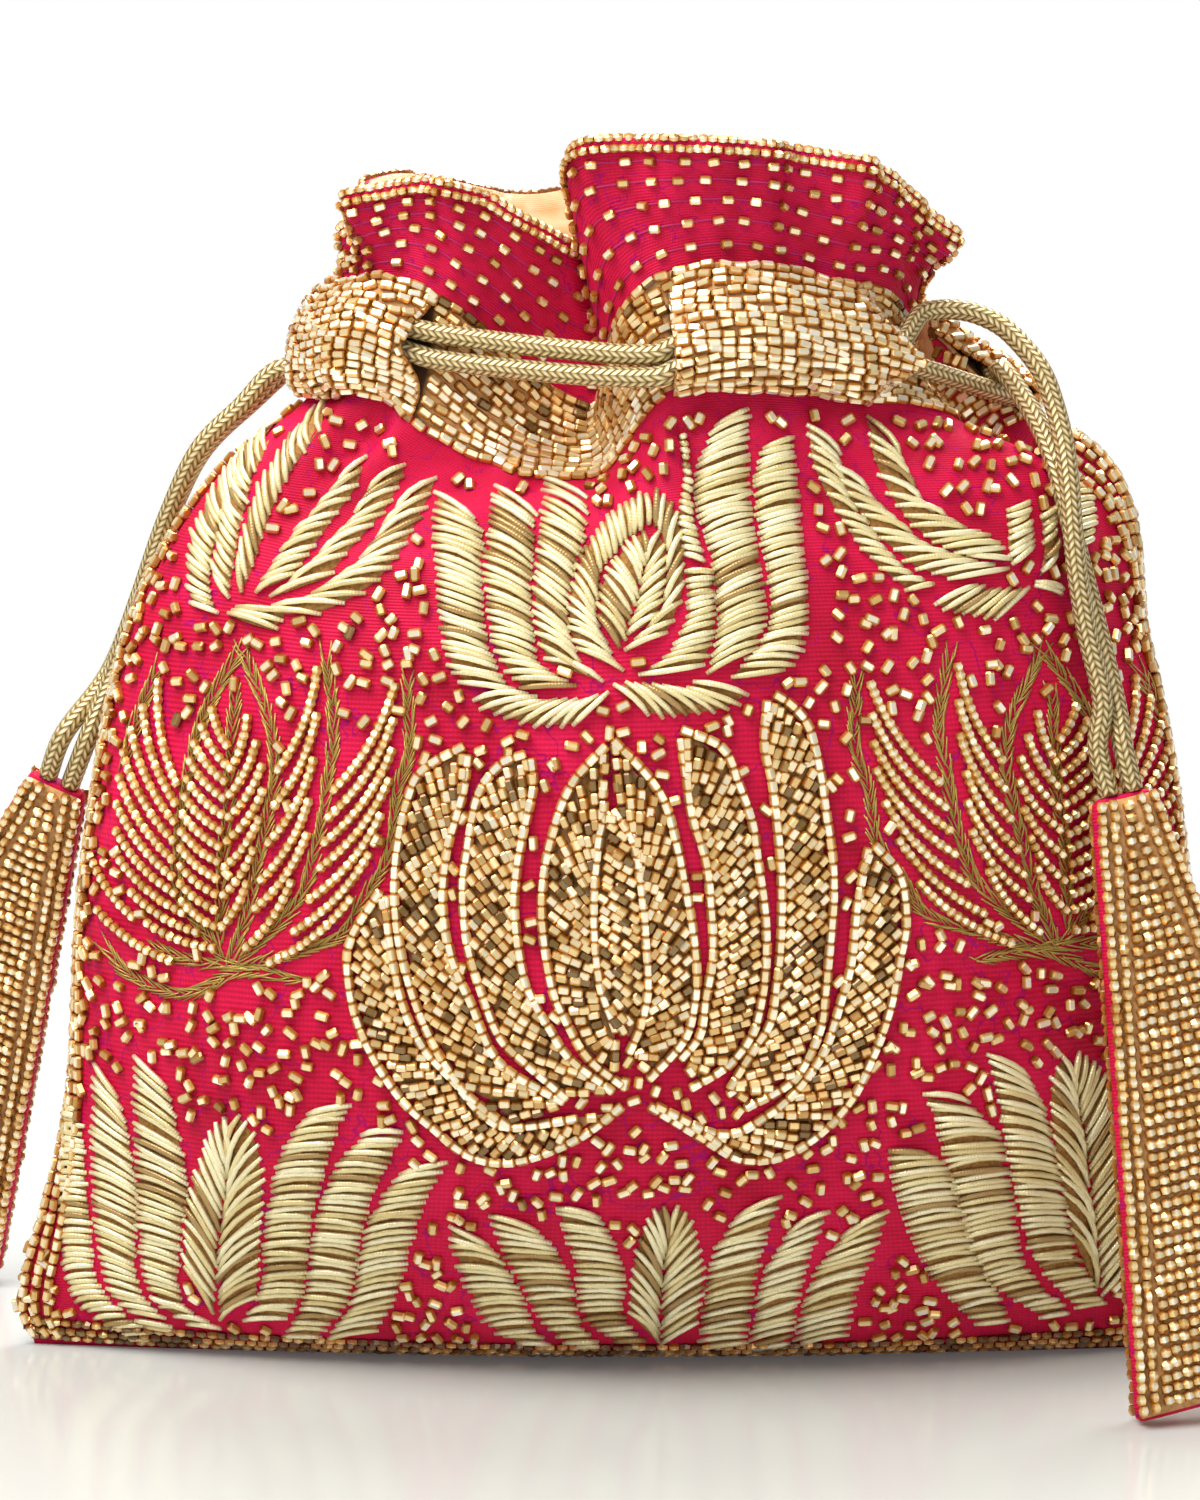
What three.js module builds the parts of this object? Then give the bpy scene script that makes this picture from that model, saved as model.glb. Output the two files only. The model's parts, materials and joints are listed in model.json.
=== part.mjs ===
// A potli: a drawstring pouch of two bead-embroidered silk panels over a satin lining.
// The neck is gathered into four lobes by two drawcords, which run through four casing
// tunnels, cross the folds between them in the open, and end in a beaded tab at each side.
// Millimetres, +Z up, +Y to the back, origin at the middle of the base.
import * as THREE from "three";

// Driving dimensions.
const clearance = 0.3; // left between neighbouring pieces
const panelCloth = 1.2; // embroidered silk with its interfacing
const liningCloth = 0.8;
const bodyHeight = 174; // floor to the lower edge of the casing
const casingHeight = 23;
const frillHeight = 23;
const bodyWidth = 224; // across the two bottom corners
const bodyDepth = 86;
const baseDepth = 26; // of the flat foot that the pouch stands on
const neckWidth = 106;
const neckDepth = 64;
const frillFlare = 10; // how much wider the hem is than the neck
const frontFold = 21; // how far the front and back folds run in behind their lobes
const sideFold = 8;
const foldDrop = 22; // how much lower the casing lies in the bottom of a fold
const foldLean = 9; // how far a fold slips sideways under the next lobe at the hem
const cordDiameter = 3.6;
const cordSpacing = 5.4; // between the two cords in a tunnel
const tunnelWall = 1.4;
const edgingDiameter = 3.4; // a double row of beads along a seam or hem
const tab = { length: 106, topWidth: 11, bottomWidth: 46, core: 3.6, beadwork: 1.8, corner: 2 };

const degrees = Math.PI / 180;
const neckHeight = bodyHeight + casingHeight;
const hemHeight = neckHeight + frillHeight;

// Angles run anticlockwise from +X, seen from above, so 270 degrees is the front.
// The back repeats the front turned by half a turn. A fold is wider on the side it opens to.
const folds = [
  { turn: 71, before: 22, after: 12 },
  { turn: 165, before: 13, after: 13 },
  { turn: 251, before: 22, after: 12 },
  { turn: 345, before: 13, after: 13 },
];
const tunnels = {
  casing_front_left: { from: 181, to: 221 },
  casing_front_right: { from: 270, to: 323 },
  casing_back_left: { from: 90, to: 143 },
  casing_back_right: { from: 1, to: 41 },
};

// Stations up the pouch: half width, half depth and height over the ridge of a lobe.
const footTuck = 2; // how far the foot's ends turn in under the corners
const footBulge = 11; // how far the cloth swells out just above the foot
const shoulderSlope = { width: 5, depth: 2.5 }; // how much wider the casing is below than above
const ridge = [
  [bodyWidth / 2 - footTuck, baseDepth / 2, 0],
  [bodyWidth / 2, baseDepth / 2 + footBulge, 0.06 * bodyHeight],
  [0.92 * (bodyWidth / 2), 0.94 * (bodyDepth / 2), 0.26 * bodyHeight],
  [0.88 * (bodyWidth / 2), bodyDepth / 2, 0.52 * bodyHeight],
  [0.81 * (bodyWidth / 2), 0.95 * (bodyDepth / 2), 0.77 * bodyHeight],
  [0.67 * (bodyWidth / 2), 0.87 * (bodyDepth / 2), 0.92 * bodyHeight],
  [neckWidth / 2 + shoulderSlope.width, neckDepth / 2 + shoulderSlope.depth, bodyHeight],
  [neckWidth / 2, neckDepth / 2, neckHeight],
  [neckWidth / 2 + frillFlare / 2, neckDepth / 2 + frillFlare / 2, hemHeight],
];
const footStation = 0;
const shoulderStation = 5;
const casingLow = 6;
const casingTop = 7;
const hemStation = ridge.length - 1;
// How much of a fold's depth and drop each station has.
const foldShare = [0, 0, 0, 0, 0.05, 0.2, 0.5, 1, 1];
const dropShare = [0, 0, 0, 0, 0.08, 0.28, 0.5, 1, 0.82];
const leanShare = [0, 0, 0, 0, 0, 0, 0.35, 0.8, 1];
// 1 draws the section out to a sharp side seam, 0 leaves it an ellipse.
const seamShare = [1, 0.9, 0.4, 0.1, 0, 0, 0, 0, 0];

// A Catmull-Rom spline through the rows of a table, at a station counted in rows.
function along(rows, station) {
  const last = rows.length - 1;
  const i = Math.min(Math.floor(station), last - 1);
  const f = station - i;
  const at = (k) => {
    if (k < 0) return 2 * rows[0] - rows[1];
    if (k > last) return 2 * rows[last] - rows[last - 1];
    return rows[k];
  };
  const [a, b, c, d] = [at(i - 1), at(i), at(i + 1), at(i + 2)];
  const slope = c - a;
  const bend = 2 * a - 5 * b + 4 * c - d;
  const twist = 3 * (b - c) + d - a;
  return b + 0.5 * f * (slope + f * (bend + f * twist));
}
const halfWidths = ridge.map((row) => row[0]);
const halfDepths = ridge.map((row) => row[1]);
const heights = ridge.map((row) => row[2]);

// 1 in the bottom of a fold, 0 on a lobe.
function foldAt(turn) {
  let sum = 0;
  for (const fold of folds) {
    const away = ((turn - fold.turn + 540) % 360) - 180;
    const spread = away < 0 ? fold.before : fold.after;
    sum += Math.exp(-((away / spread) ** 2));
  }
  return Math.min(sum, 1);
}

// A point of the pouch's outer face, moved out by an offset along the plan's normal.
function pouch(turn, station, offset = 0) {
  const angle = turn * degrees;
  const [c, s] = [Math.cos(angle), Math.sin(angle)];
  const fold = foldAt(turn);
  const sharp = Math.max(along(seamShare, station), 0);
  const inward = fold * along(foldShare, station);
  const halfWidth = along(halfWidths, station) - inward * sideFold + offset;
  const halfDepth = along(halfDepths, station) - inward * frontFold + offset;
  const slip = fold * foldLean * along(leanShare, station);
  const height = along(heights, station) - fold * foldDrop * along(dropShare, station);
  return new THREE.Vector3(
    halfWidth * c - slip * s,
    halfDepth * s * Math.abs(s) ** sharp + slip * c,
    height,
  );
}

// A point level with one of the outer face and a true distance off the face, whose lean
// out or in over its height makes the level step longer.
function beside(turn, station, distance) {
  const [before, after] = [turn - 0.5, turn + 0.5].map((near) => pouch(near, station));
  const normal = new THREE.Vector3(after.y - before.y, before.x - after.x, 0).normalize();
  const [low, high] = [Math.max(station - 0.2, 0), station + 0.2].map((near) => pouch(turn, near));
  const lean = high.clone().sub(low).dot(normal) / (high.z - low.z);
  return pouch(turn, station).addScaledVector(normal, distance * Math.hypot(1, lean));
}

// A closed wall between two grids of points, outer and inner, each given by (column, row).
// A ring joins its last column to its first, and a pouch closes its first row on itself.
function wall(outer, inner, columns, rows, ring = false, closedFoot = false) {
  const points = [];
  const faces = [];
  const across = ring ? columns : columns + 1;
  for (const face of [outer, inner]) {
    for (let r = 0; r <= rows; r++) {
      for (let c = 0; c < across; c++) points.push(...face(c / columns, r / rows).toArray());
    }
  }
  const at = (side, c, r) => side * across * (rows + 1) + r * across + (c % across);
  const quad = (a, b, c, d) => faces.push(a, b, c, a, c, d);
  for (let c = 0; c < columns; c++) {
    for (let r = 0; r < rows; r++) {
      quad(at(0, c, r), at(0, c + 1, r), at(0, c + 1, r + 1), at(0, c, r + 1));
      quad(at(1, c, r), at(1, c, r + 1), at(1, c + 1, r + 1), at(1, c + 1, r));
    }
    quad(at(0, c, rows), at(0, c + 1, rows), at(1, c + 1, rows), at(1, c, rows));
    if (!closedFoot) quad(at(0, c + 1, 0), at(0, c, 0), at(1, c, 0), at(1, c + 1, 0));
  }
  for (let r = 0; r < rows && !ring; r++) {
    quad(at(0, 0, r), at(0, 0, r + 1), at(1, 0, r + 1), at(1, 0, r));
    quad(at(0, columns, r + 1), at(0, columns, r), at(1, columns, r), at(1, columns, r + 1));
  }
  const geometry = new THREE.BufferGeometry();
  geometry.setAttribute("position", new THREE.Float32BufferAttribute(points, 3));
  geometry.setIndex(faces);
  geometry.computeVertexNormals();
  return geometry;
}

// Every cloth layer has the same grid, so that its facets lie alongside its neighbour's.
const clothColumns = 22; // in half a turn
const footRows = 1;
const sideRows = 16; // two to a station
const clothRows = footRows + sideRows;
const footShare = footRows / clothRows;
// A point of a cloth layer: its foot runs in from the outline to the seam under the pouch.
function layer(turn, up, inset) {
  if (up >= footShare) {
    const station = (hemStation * (up - footShare)) / (1 - footShare);
    const point = pouch(turn, station, -inset);
    point.z = Math.max(point.z, inset);
    return point;
  }
  const edge = pouch(turn, footStation, -inset);
  edge.y *= up / footShare;
  edge.z = inset;
  return edge;
}

// Half the pouch, from one side seam round to the other, set off from the seams' middle.
function panel(from, outward) {
  const side = (inset) => (across, up) => layer(from + 180 * across, up, inset);
  return wall(side(0), side(panelCloth), clothColumns, clothRows).translate(0, (outward * clearance) / 2, 0);
}

const silk = new THREE.MeshStandardMaterial({ color: 0xb3123c, roughness: 0.55 });
const satin = new THREE.MeshStandardMaterial({ color: 0xe3ad74, roughness: 0.4 });
const beads = new THREE.MeshStandardMaterial({ color: 0xcfa668, roughness: 0.25, metalness: 0.6 });
const braid = new THREE.MeshStandardMaterial({ color: 0xc7ad6c, roughness: 0.4, metalness: 0.5 });

function piece(name, geometry, material) {
  const mesh = new THREE.Mesh(geometry, material);
  mesh.name = name;
  return mesh;
}

const bag = new THREE.Group();
bag.add(piece("front_panel", panel(180, -1), silk), piece("back_panel", panel(0, 1), silk));

// The lining: a pouch of its own that hangs inside the panels.
const liningInset = panelCloth + clearance;
const liningFace = (inset) => (across, up) => layer(360 * across, up, inset);
const lining = wall(
  liningFace(liningInset),
  liningFace(liningInset + liningCloth),
  2 * clothColumns,
  clothRows,
  true,
  true,
);
bag.add(piece("lining", lining, satin));

// The casing tunnels: beaded strips sewn down along both edges, which arch over the cords.
const tunnelRoom = cordDiameter + 2;
const archRound = 0.6; // the lower, the fuller the arch
const tunnelColumns = 10;
const tunnelRows = 6;
function tunnel({ from, to }) {
  const strip = (lift) => (across, up) => {
    const arch = clearance + tunnelRoom * Math.sin(Math.PI * up) ** archRound;
    return pouch(from + (to - from) * across, casingLow + up * (casingTop - casingLow), arch + lift);
  };
  return wall(strip(tunnelWall), strip(0), tunnelColumns, tunnelRows);
}
for (const [name, place] of Object.entries(tunnels)) bag.add(piece(name, tunnel(place), beads));

// A round tube along a smooth curve through points.
function tube(points, diameter, steps, sides) {
  const ring = new THREE.Shape();
  for (let i = 0; i < sides; i++) {
    const angle = (2 * Math.PI * i) / sides;
    const [x, y] = [(diameter / 2) * Math.cos(angle), (diameter / 2) * Math.sin(angle)];
    if (i === 0) ring.moveTo(x, y);
    else ring.lineTo(x, y);
  }
  ring.closePath();
  const path = new THREE.CatmullRomCurve3(points);
  return new THREE.ExtrudeGeometry(ring, { steps, extrudePath: path, bevelEnabled: false });
}

// Bead edgings: along the hem, down the side seams and round the foot of each panel.
const edgingLift = edgingDiameter / 2 + clearance;
const edgingSides = 6;
const hemRun = { points: 36, margin: 2, steps: 48, spare: 3 * clearance }; // margins in degrees
const footRun = { points: 24, margin: 9, steps: 30 };
const seamRun = { points: 12, steps: 16, foot: 0.35, top: shoulderStation + 0.5 }; // in stations
function halfRound(from, run, place) {
  const reach = 180 - 2 * run.margin;
  return Array.from({ length: run.points + 1 }, (_, i) =>
    place(from + run.margin + (reach * i) / run.points),
  );
}
function hemEdging(from) {
  return halfRound(from, hemRun, (turn) => {
    const near = [turn - hemRun.margin, turn, turn + hemRun.margin];
    const [before, point, after] = near.map((t) => pouch(t, hemStation, -panelCloth));
    const run = Math.hypot(after.x - before.x, after.y - before.y);
    const slope = (after.z - before.z) / run;
    point.z += (edgingLift + hemRun.spare) * Math.hypot(1, slope);
    return point;
  });
}
const footEdgingStation = edgingDiameter / 2 / heights[1];
function footEdging(from) {
  return halfRound(from, footRun, (turn) => {
    const point = beside(turn, footEdgingStation, edgingLift + clearance);
    point.z = edgingDiameter / 2 + clearance / 3;
    return point;
  });
}
function seamEdging(turn) {
  const reach = seamRun.top - seamRun.foot;
  return Array.from({ length: seamRun.points + 1 }, (_, i) =>
    beside(turn, seamRun.foot + (reach * i) / seamRun.points, edgingLift + clearance),
  );
}
const edging = (route, run) => tube(route, edgingDiameter, run.steps, edgingSides);
bag.add(
  piece("hem_edging_front", edging(hemEdging(180), hemRun), beads),
  piece("hem_edging_back", edging(hemEdging(0), hemRun), beads),
  piece("foot_edging_front", edging(footEdging(180), footRun), beads),
  piece("foot_edging_back", edging(footEdging(0), footRun), beads),
  piece("seam_edging_left", edging(seamEdging(180), seamRun), beads),
  piece("seam_edging_right", edging(seamEdging(0), seamRun), beads),
);

// The tabs: a stiff silk-edged core with a beaded face on each side.
function tabOutline(inset) {
  const [top, bottom] = [tab.topWidth / 2 - inset, tab.bottomWidth / 2 - inset];
  const [high, low] = [-inset, inset - tab.length];
  const shape = new THREE.Shape();
  shape.moveTo(-top, high);
  shape.lineTo(-bottom, low + tab.corner);
  shape.quadraticCurveTo(-bottom, low, tab.corner - bottom, low);
  shape.lineTo(bottom - tab.corner, low);
  shape.quadraticCurveTo(bottom, low, bottom, low + tab.corner);
  shape.lineTo(top, high);
  shape.closePath();
  return shape;
}
function tabPlate(inset, thickness, middle) {
  const plate = new THREE.ExtrudeGeometry(tabOutline(inset), {
    depth: thickness,
    bevelEnabled: false,
    curveSegments: 4,
  });
  return plate.rotateX(Math.PI / 2).translate(0, middle + thickness / 2, 0);
}
const beadInset = 1.2; // the silk edge that shows round the beadwork
const beadMiddle = (tab.core + tab.beadwork) / 2 + clearance;
function beadedTab(side, place) {
  const group = new THREE.Group();
  group.add(
    piece(`${side}_tab_core`, tabPlate(0, tab.core, 0), silk),
    piece(`${side}_tab_front`, tabPlate(beadInset, tab.beadwork, -beadMiddle), beads),
    piece(`${side}_tab_back`, tabPlate(beadInset, tab.beadwork, beadMiddle), beads),
  );
  group.rotation.set(place.lean * degrees, place.tilt * degrees, place.yaw * degrees, "XYZ");
  group.updateMatrixWorld(true);
  const lowest = new THREE.Box3().setFromObject(group, true).min.z;
  group.position.set(place.x, place.y, 2 * clearance - lowest);
  group.updateMatrix();
  return group;
}
// Each tab stands with one lower corner on the floor and leans in at the top: the right one
// before the front, the left one beside the seam.
const rightPlace = { x: bodyWidth / 2 - 28, y: 10 - bodyDepth / 2, lean: -8, tilt: -13, yaw: 12 };
const leftPlace = { x: 7 - bodyWidth / 2, y: 10, lean: 20, tilt: 21, yaw: -12 };
const rightTab = beadedTab("right", rightPlace);
const leftTab = beadedTab("left", leftPlace);
bag.add(rightTab, leftTab);

// Each drawcord goes round the whole neck, and both its ends run down to one tab.
const rise = cordSpacing / 2; // of each cord above or below the middle of the casing
const mouthLead = 3; // how far a cord keeps its line past the mouth of a tunnel
const tunnelStep = 9; // degrees
const cordSag = 0.2; // below the middle of the tunnel's room
function throughTunnel({ from, to }, height) {
  const count = Math.round((to - from) / tunnelStep);
  const station = (casingLow + casingTop) / 2 + height / casingHeight;
  const offset = clearance + tunnelRoom / 2 - cordSag;
  const inside = Array.from({ length: count + 1 }, (_, i) =>
    pouch(from + ((to - from) * i) / count, station, offset),
  );
  const lead = (end, next) => end.clone().addScaledVector(end.clone().sub(next).normalize(), mouthLead);
  return [lead(inside[0], inside[1]), ...inside, lead(inside[count], inside[count - 1])];
}
// The end of a cord, straight out of its tab's top and to one side of the tab's middle line.
const tabLead = 9;
function tabEnd(group, sideways) {
  return [clearance, tabLead].map((up) => new THREE.Vector3(sideways, 0, up).applyMatrix4(group.matrix));
}
const strandGap = 0.8; // between a cord's two ends at the tab
const strand = (cordDiameter + strandGap) / 2;
const points = (rows) => rows.map((row) => new THREE.Vector3(...row));

// The free stretches, chosen by hand: from the tunnel down the side to the tab.
const rightFront = points([
  [56, -17, 189.5],
  [62, -17.5, 186.5],
  [67, -20, 179.5],
  [70.7, -23.5, 169],
  [73.5, -26.5, 156],
  [76.5, -29.5, 139],
  [79.5, -31.5, 122],
]);
const rightBack = points([
  [63, -6, 186.5],
  [69.5, -10, 179],
  [74.5, -15, 168],
  [78, -20, 155],
  [80.5, -25, 140],
  [83, -29, 124],
]);
const leftFront = points([
  [-66, 4, 180],
  [-74, 5, 173.5],
  [-81.5, 6, 163.5],
  [-87, 8, 150],
  [-91.5, 9, 136],
  [-95.5, 9.5, 123],
]);
const leftBack = points([
  [-60, 19, 182],
  [-70, 15, 177],
  [-79, 13, 167],
  [-86, 13, 154],
  [-91.5, 14, 140],
  [-97, 13.5, 126],
]);

const { casing_front_left, casing_front_right, casing_back_left, casing_back_right } = tunnels;
const rightCord = [
  ...tabEnd(rightTab, -strand),
  ...rightFront.reverse(),
  ...throughTunnel(casing_front_right, rise).reverse(),
  ...throughTunnel(casing_front_left, rise).reverse(),
  ...throughTunnel(casing_back_left, rise).reverse(),
  ...throughTunnel(casing_back_right, rise).reverse(),
  ...rightBack,
  ...tabEnd(rightTab, strand).reverse(),
];
const leftCord = [
  ...tabEnd(leftTab, strand),
  ...leftFront.reverse(),
  ...throughTunnel(casing_front_left, -rise),
  ...throughTunnel(casing_front_right, -rise),
  ...throughTunnel(casing_back_right, -rise),
  ...throughTunnel(casing_back_left, -rise),
  ...leftBack,
  ...tabEnd(leftTab, -strand).reverse(),
];
const cordSteps = 72;
const cordSides = 8;
bag.add(
  piece("right_drawcord", tube(rightCord, cordDiameter, cordSteps, cordSides), braid),
  piece("left_drawcord", tube(leftCord, cordDiameter, cordSteps, cordSides), braid),
);

export default bag;
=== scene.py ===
# Potli bag: a gathered silk pouch worked with gold beads and coiled wire, on a white table.
import json
import math

import bpy
import numpy as np
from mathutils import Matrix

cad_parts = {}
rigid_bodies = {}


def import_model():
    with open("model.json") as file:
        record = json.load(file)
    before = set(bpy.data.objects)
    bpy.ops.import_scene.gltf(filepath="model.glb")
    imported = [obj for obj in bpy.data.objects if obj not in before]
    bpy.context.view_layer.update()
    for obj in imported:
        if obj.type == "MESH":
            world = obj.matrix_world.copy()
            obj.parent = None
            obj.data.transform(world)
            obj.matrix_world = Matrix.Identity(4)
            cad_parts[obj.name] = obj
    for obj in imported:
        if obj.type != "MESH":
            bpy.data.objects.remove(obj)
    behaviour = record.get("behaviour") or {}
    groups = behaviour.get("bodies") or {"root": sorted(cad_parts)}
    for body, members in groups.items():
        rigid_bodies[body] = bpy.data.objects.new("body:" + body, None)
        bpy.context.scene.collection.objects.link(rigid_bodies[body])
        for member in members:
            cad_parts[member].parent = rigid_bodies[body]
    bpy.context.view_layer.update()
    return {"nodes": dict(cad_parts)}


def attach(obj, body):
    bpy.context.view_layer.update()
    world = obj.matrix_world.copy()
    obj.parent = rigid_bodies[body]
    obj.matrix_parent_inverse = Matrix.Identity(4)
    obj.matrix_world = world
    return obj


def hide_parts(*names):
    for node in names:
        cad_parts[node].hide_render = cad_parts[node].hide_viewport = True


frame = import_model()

cadPieces = set(bpy.data.objects)
mm = 0.001  # every shape below is worked out in millimetres and stored in metres
chance = np.random.default_rng(41)
print("frame loaded:", len(frame["nodes"]), "nodes")

# the photograph's frame and where its camera stood
view = {
    "width": 1200,
    "height": 1500,
    "distance": 850.0,
    "elevation": 8.5,
    "target": (-6.3, 0.0, 110.0),
    "scale": 0.18,  # mm a pixel at the target
}
tilt = math.radians(view["elevation"])
forward = np.array([0.0, math.cos(tilt), -math.sin(tilt)])
upward = np.array([0.0, math.sin(tilt), math.cos(tilt)])
eye = np.array(view["target"]) - view["distance"] * forward
focal = view["distance"] / view["scale"]


def toPixel(points):
    # perspective: how far right and up of the view axis a point lies, over its depth
    away = points - eye
    depth = away @ forward
    x = view["width"] / 2 + focal * away[..., 0] / depth
    y = view["height"] / 2 - focal * (away @ upward) / depth
    return np.stack([x, y], axis=-1)


def makeCamera():
    # at the eye, tilted down, with the lens that gives the scale above at the target
    data = bpy.data.cameras.new("camera")
    data.lens = data.sensor_width * focal / view["height"]  # the sensor's width is the long side's
    data.clip_start = 0.01
    camera = bpy.data.objects.new("camera", data)
    camera.location = eye * mm
    camera.rotation_euler = (math.pi / 2 - tilt, 0, 0)
    bpy.context.collection.objects.link(camera)
    bpy.context.scene.camera = camera


makeCamera()
bpy.context.scene.view_settings.view_transform = "Standard"


# colours and nodes
def linear(colour):
    # sRGB hex to linear light
    parts = np.array([int(colour[i : i + 2], 16) for i in (1, 3, 5)]) / 255
    light = np.where(parts <= 0.04045, parts / 12.92, ((parts + 0.055) / 1.055) ** 2.4)
    return (*light.tolist(), 1.0)


def addNode(tree, kind, settings=None, **inputs):
    # a node, its settings, and what goes into its inputs: a value, or another node's output
    node = tree.nodes.new("ShaderNode" + kind)
    for name, value in (settings or {}).items():
        if name != "stops":
            setattr(node, name, value)
            continue
        elements = node.color_ramp.elements  # stops are (place, hex colour)
        while len(elements) < len(value):
            elements.new(0.5)
        for element, (place, colour) in zip(elements, value):
            element.position = place
            element.color = linear(colour)
    for name, value in inputs.items():
        numbered = name.startswith("in")  # in0, in1 ... where several inputs share a name
        socket = node.inputs[int(name[2:]) if numbered else name.replace("_", " ")]
        if isinstance(value, bpy.types.NodeSocket):
            tree.links.new(value, socket)
        else:
            socket.default_value = value
    return node


def newMaterial(name, **surface):
    # a principled surface to which pattern nodes are added
    material = bpy.data.materials.new(name)
    material.use_nodes = True
    tree = material.node_tree
    tree.nodes.clear()
    shader = addNode(tree, "BsdfPrincipled", **surface)
    addNode(tree, "OutputMaterial", Surface=shader.outputs[0])
    return material, tree, shader


# meshes
def buildMesh(name, points, quads, uv, material, slot):
    # four-cornered faces from whole arrays: points in mm, a uv pair for each point
    mesh = bpy.data.meshes.new(name)
    corners = quads.astype(np.int32).ravel()
    mesh.vertices.add(len(points))
    mesh.vertices.foreach_set("co", (points * mm).astype(np.float32).ravel())
    mesh.loops.add(len(corners))
    mesh.loops.foreach_set("vertex_index", corners)
    mesh.polygons.add(len(quads))
    mesh.polygons.foreach_set("loop_start", np.arange(0, len(corners), 4, dtype=np.int32))
    mesh.polygons.foreach_set("loop_total", np.full(len(quads), 4, dtype=np.int32))
    mesh.polygons.foreach_set("use_smooth", np.full(len(quads), slot != "beads"))  # beads are facet-cut
    mesh.update(calc_edges=True)
    mesh.uv_layers.new(name="UVMap").data.foreach_set("uv", uv[corners].astype(np.float32).ravel())
    mesh.validate()
    mesh.materials.append(material)
    piece = bpy.data.objects.new(name, mesh)
    bpy.context.collection.objects.link(piece)
    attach(piece, "root")
    return piece


def gridQuads(rows, columns, start=0, ring=False):
    # corner numbers of a grid's faces, wound to face out of a grid that runs right and up
    r, c = np.meshgrid(np.arange(rows - 1), np.arange(columns if ring else columns - 1), indexing="ij")
    nextColumn = (c + 1) % columns
    low, high = r * columns, (r + 1) * columns
    corners = [low + c, low + nextColumn, high + nextColumn, high + c]
    return start + np.stack(corners, axis=-1).reshape(-1, 4)


def clothWall(outer, inner, ring=False):
    # two grids of points and the rims that close them into one thin wall
    rows, columns = outer.shape[:2]
    count = rows * columns
    faces = [gridQuads(rows, columns, 0, ring), gridQuads(rows, columns, count, ring)[:, ::-1]]
    number = np.arange(2 * count).reshape(2, rows, columns)
    edges = [(number[:, -1, :], 1), (number[:, 0, :], -1)]
    if ring:
        edges = [(np.concatenate([edge, edge[:, :1]], axis=1), way) for edge, way in edges]
    else:
        edges += [(number[:, :, 0], 1), (number[:, :, -1], -1)]
    for edge, way in edges:
        strip = np.stack([edge[0, :-1], edge[0, 1:], edge[1, 1:], edge[1, :-1]], axis=-1)
        faces.append(strip[:, ::way])
    return np.concatenate([outer.reshape(-1, 3), inner.reshape(-1, 3)]), np.concatenate(faces)


rodSides = 6  # of wires, threads and beads


def rodQuads(count, rings):
    # the faces of many six-sided rods of a few rings each, closed at both ends
    caps = np.array([[0, 3, 2, 1], [0, 5, 4, 3]])
    quads = gridQuads(rings, rodSides, 0, ring=True)
    quads = np.concatenate([quads, caps, caps[:, ::-1] + (rings - 1) * rodSides])
    return (quads[None] + (np.arange(count) * rings * rodSides)[:, None, None]).reshape(-1, 4)


def joinShapes(shapes):
    # several shapes as one: their corner numbers move on by the points that came before
    points, quads, uv = [], [], []
    start = 0
    for p, q, t in shapes:
        points.append(p)
        quads.append(q + start)
        uv.append(t)
        start += len(p)
    return np.concatenate(points), np.concatenate(quads), np.concatenate(uv)


# small sums that the shapes share
def unit(vectors):
    # each vector over its own length
    return vectors / np.maximum(np.linalg.norm(vectors, axis=-1, keepdims=True), 1e-12)


def runAlong(points):
    # how far along a path each of its points lies
    return np.concatenate([[0], np.cumsum(np.linalg.norm(np.diff(points, axis=0), axis=1))])


def step(low, high, value):
    # smooth rise from 0 to 1
    f = np.clip((value - low) / (high - low), 0, 1)
    return f * f * (3 - 2 * f)


def riseAndFall(marks, value):
    # smooth rise from 0 to 1 between the first two marks, and a smooth fall between the last two
    return step(*marks[:2], value) * (1 - step(*marks[2:], value))


def bell(away):
    # 1 at the middle, falling off as a bell curve
    return np.exp(-(away**2))


def turnsAway(turn, centre):
    # degrees from one turn to another by the shorter way round
    return (turn - centre + 540) % 360 - 180


def waves(rows, angle):
    # a sum of sines, each with its size, how many go to a full turn, and its phase
    return sum(size * np.sin(count * angle + phase) for size, count, phase in rows)


# the pouch's outline: half width, half depth and height over the ridge of a lobe, foot to hem;
# a station is a place in these rows, and a turn is in degrees from the right side round by the back
pouchShape = {
    "halfWidth": [110, 112, 103.04, 98.56, 90.72, 75.04, 58, 53, 58],
    "halfDepth": [8, 24, 40.42, 43, 40.85, 37.41, 34.5, 32, 37],
    "height": [0, 10.44, 45.24, 90.48, 133.98, 160.08, 176, 197, 220],
    "foldShare": [0, 0, 0, 0, 0.05, 0.2, 0.5, 1, 1],
    "dropShare": [0, 0, 0, 0, 0.08, 0.32, 0.63, 1, 0.82],
    "leanShare": [0, 0, 0, 0, 0, 0, 0.35, 0.8, 1],
    "seamShare": [1, 0.9, 0.4, 0.1, 0, 0, 0, 0, 0],
    "frontFold": 21.0,
    "sideFold": 8.0,
    "foldDrop": 22.0,
    "foldLean": 9.0,
    # turn, spread before and after, how much further round the fold is at the hem, and how much
    # wider and flatter it is below the casing
    "folds": [(71, 22, 12, 0, 8), (165, 13, 13, 0, 0), (251, 22, 12, 0, 8), (345, 13, 13, 22, 0)],
    "foldNarrows": (6.0, 6.9),
    "foldMoves": (6.7, 8.0),
    "casingHeight": 23.0,
    "cloth": 1.2,
    "liningCloth": 0.8,
    "gap": 0.3,
}
casingLow, casingTop, hemStation = 6.0, 7.0, 8.0


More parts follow.
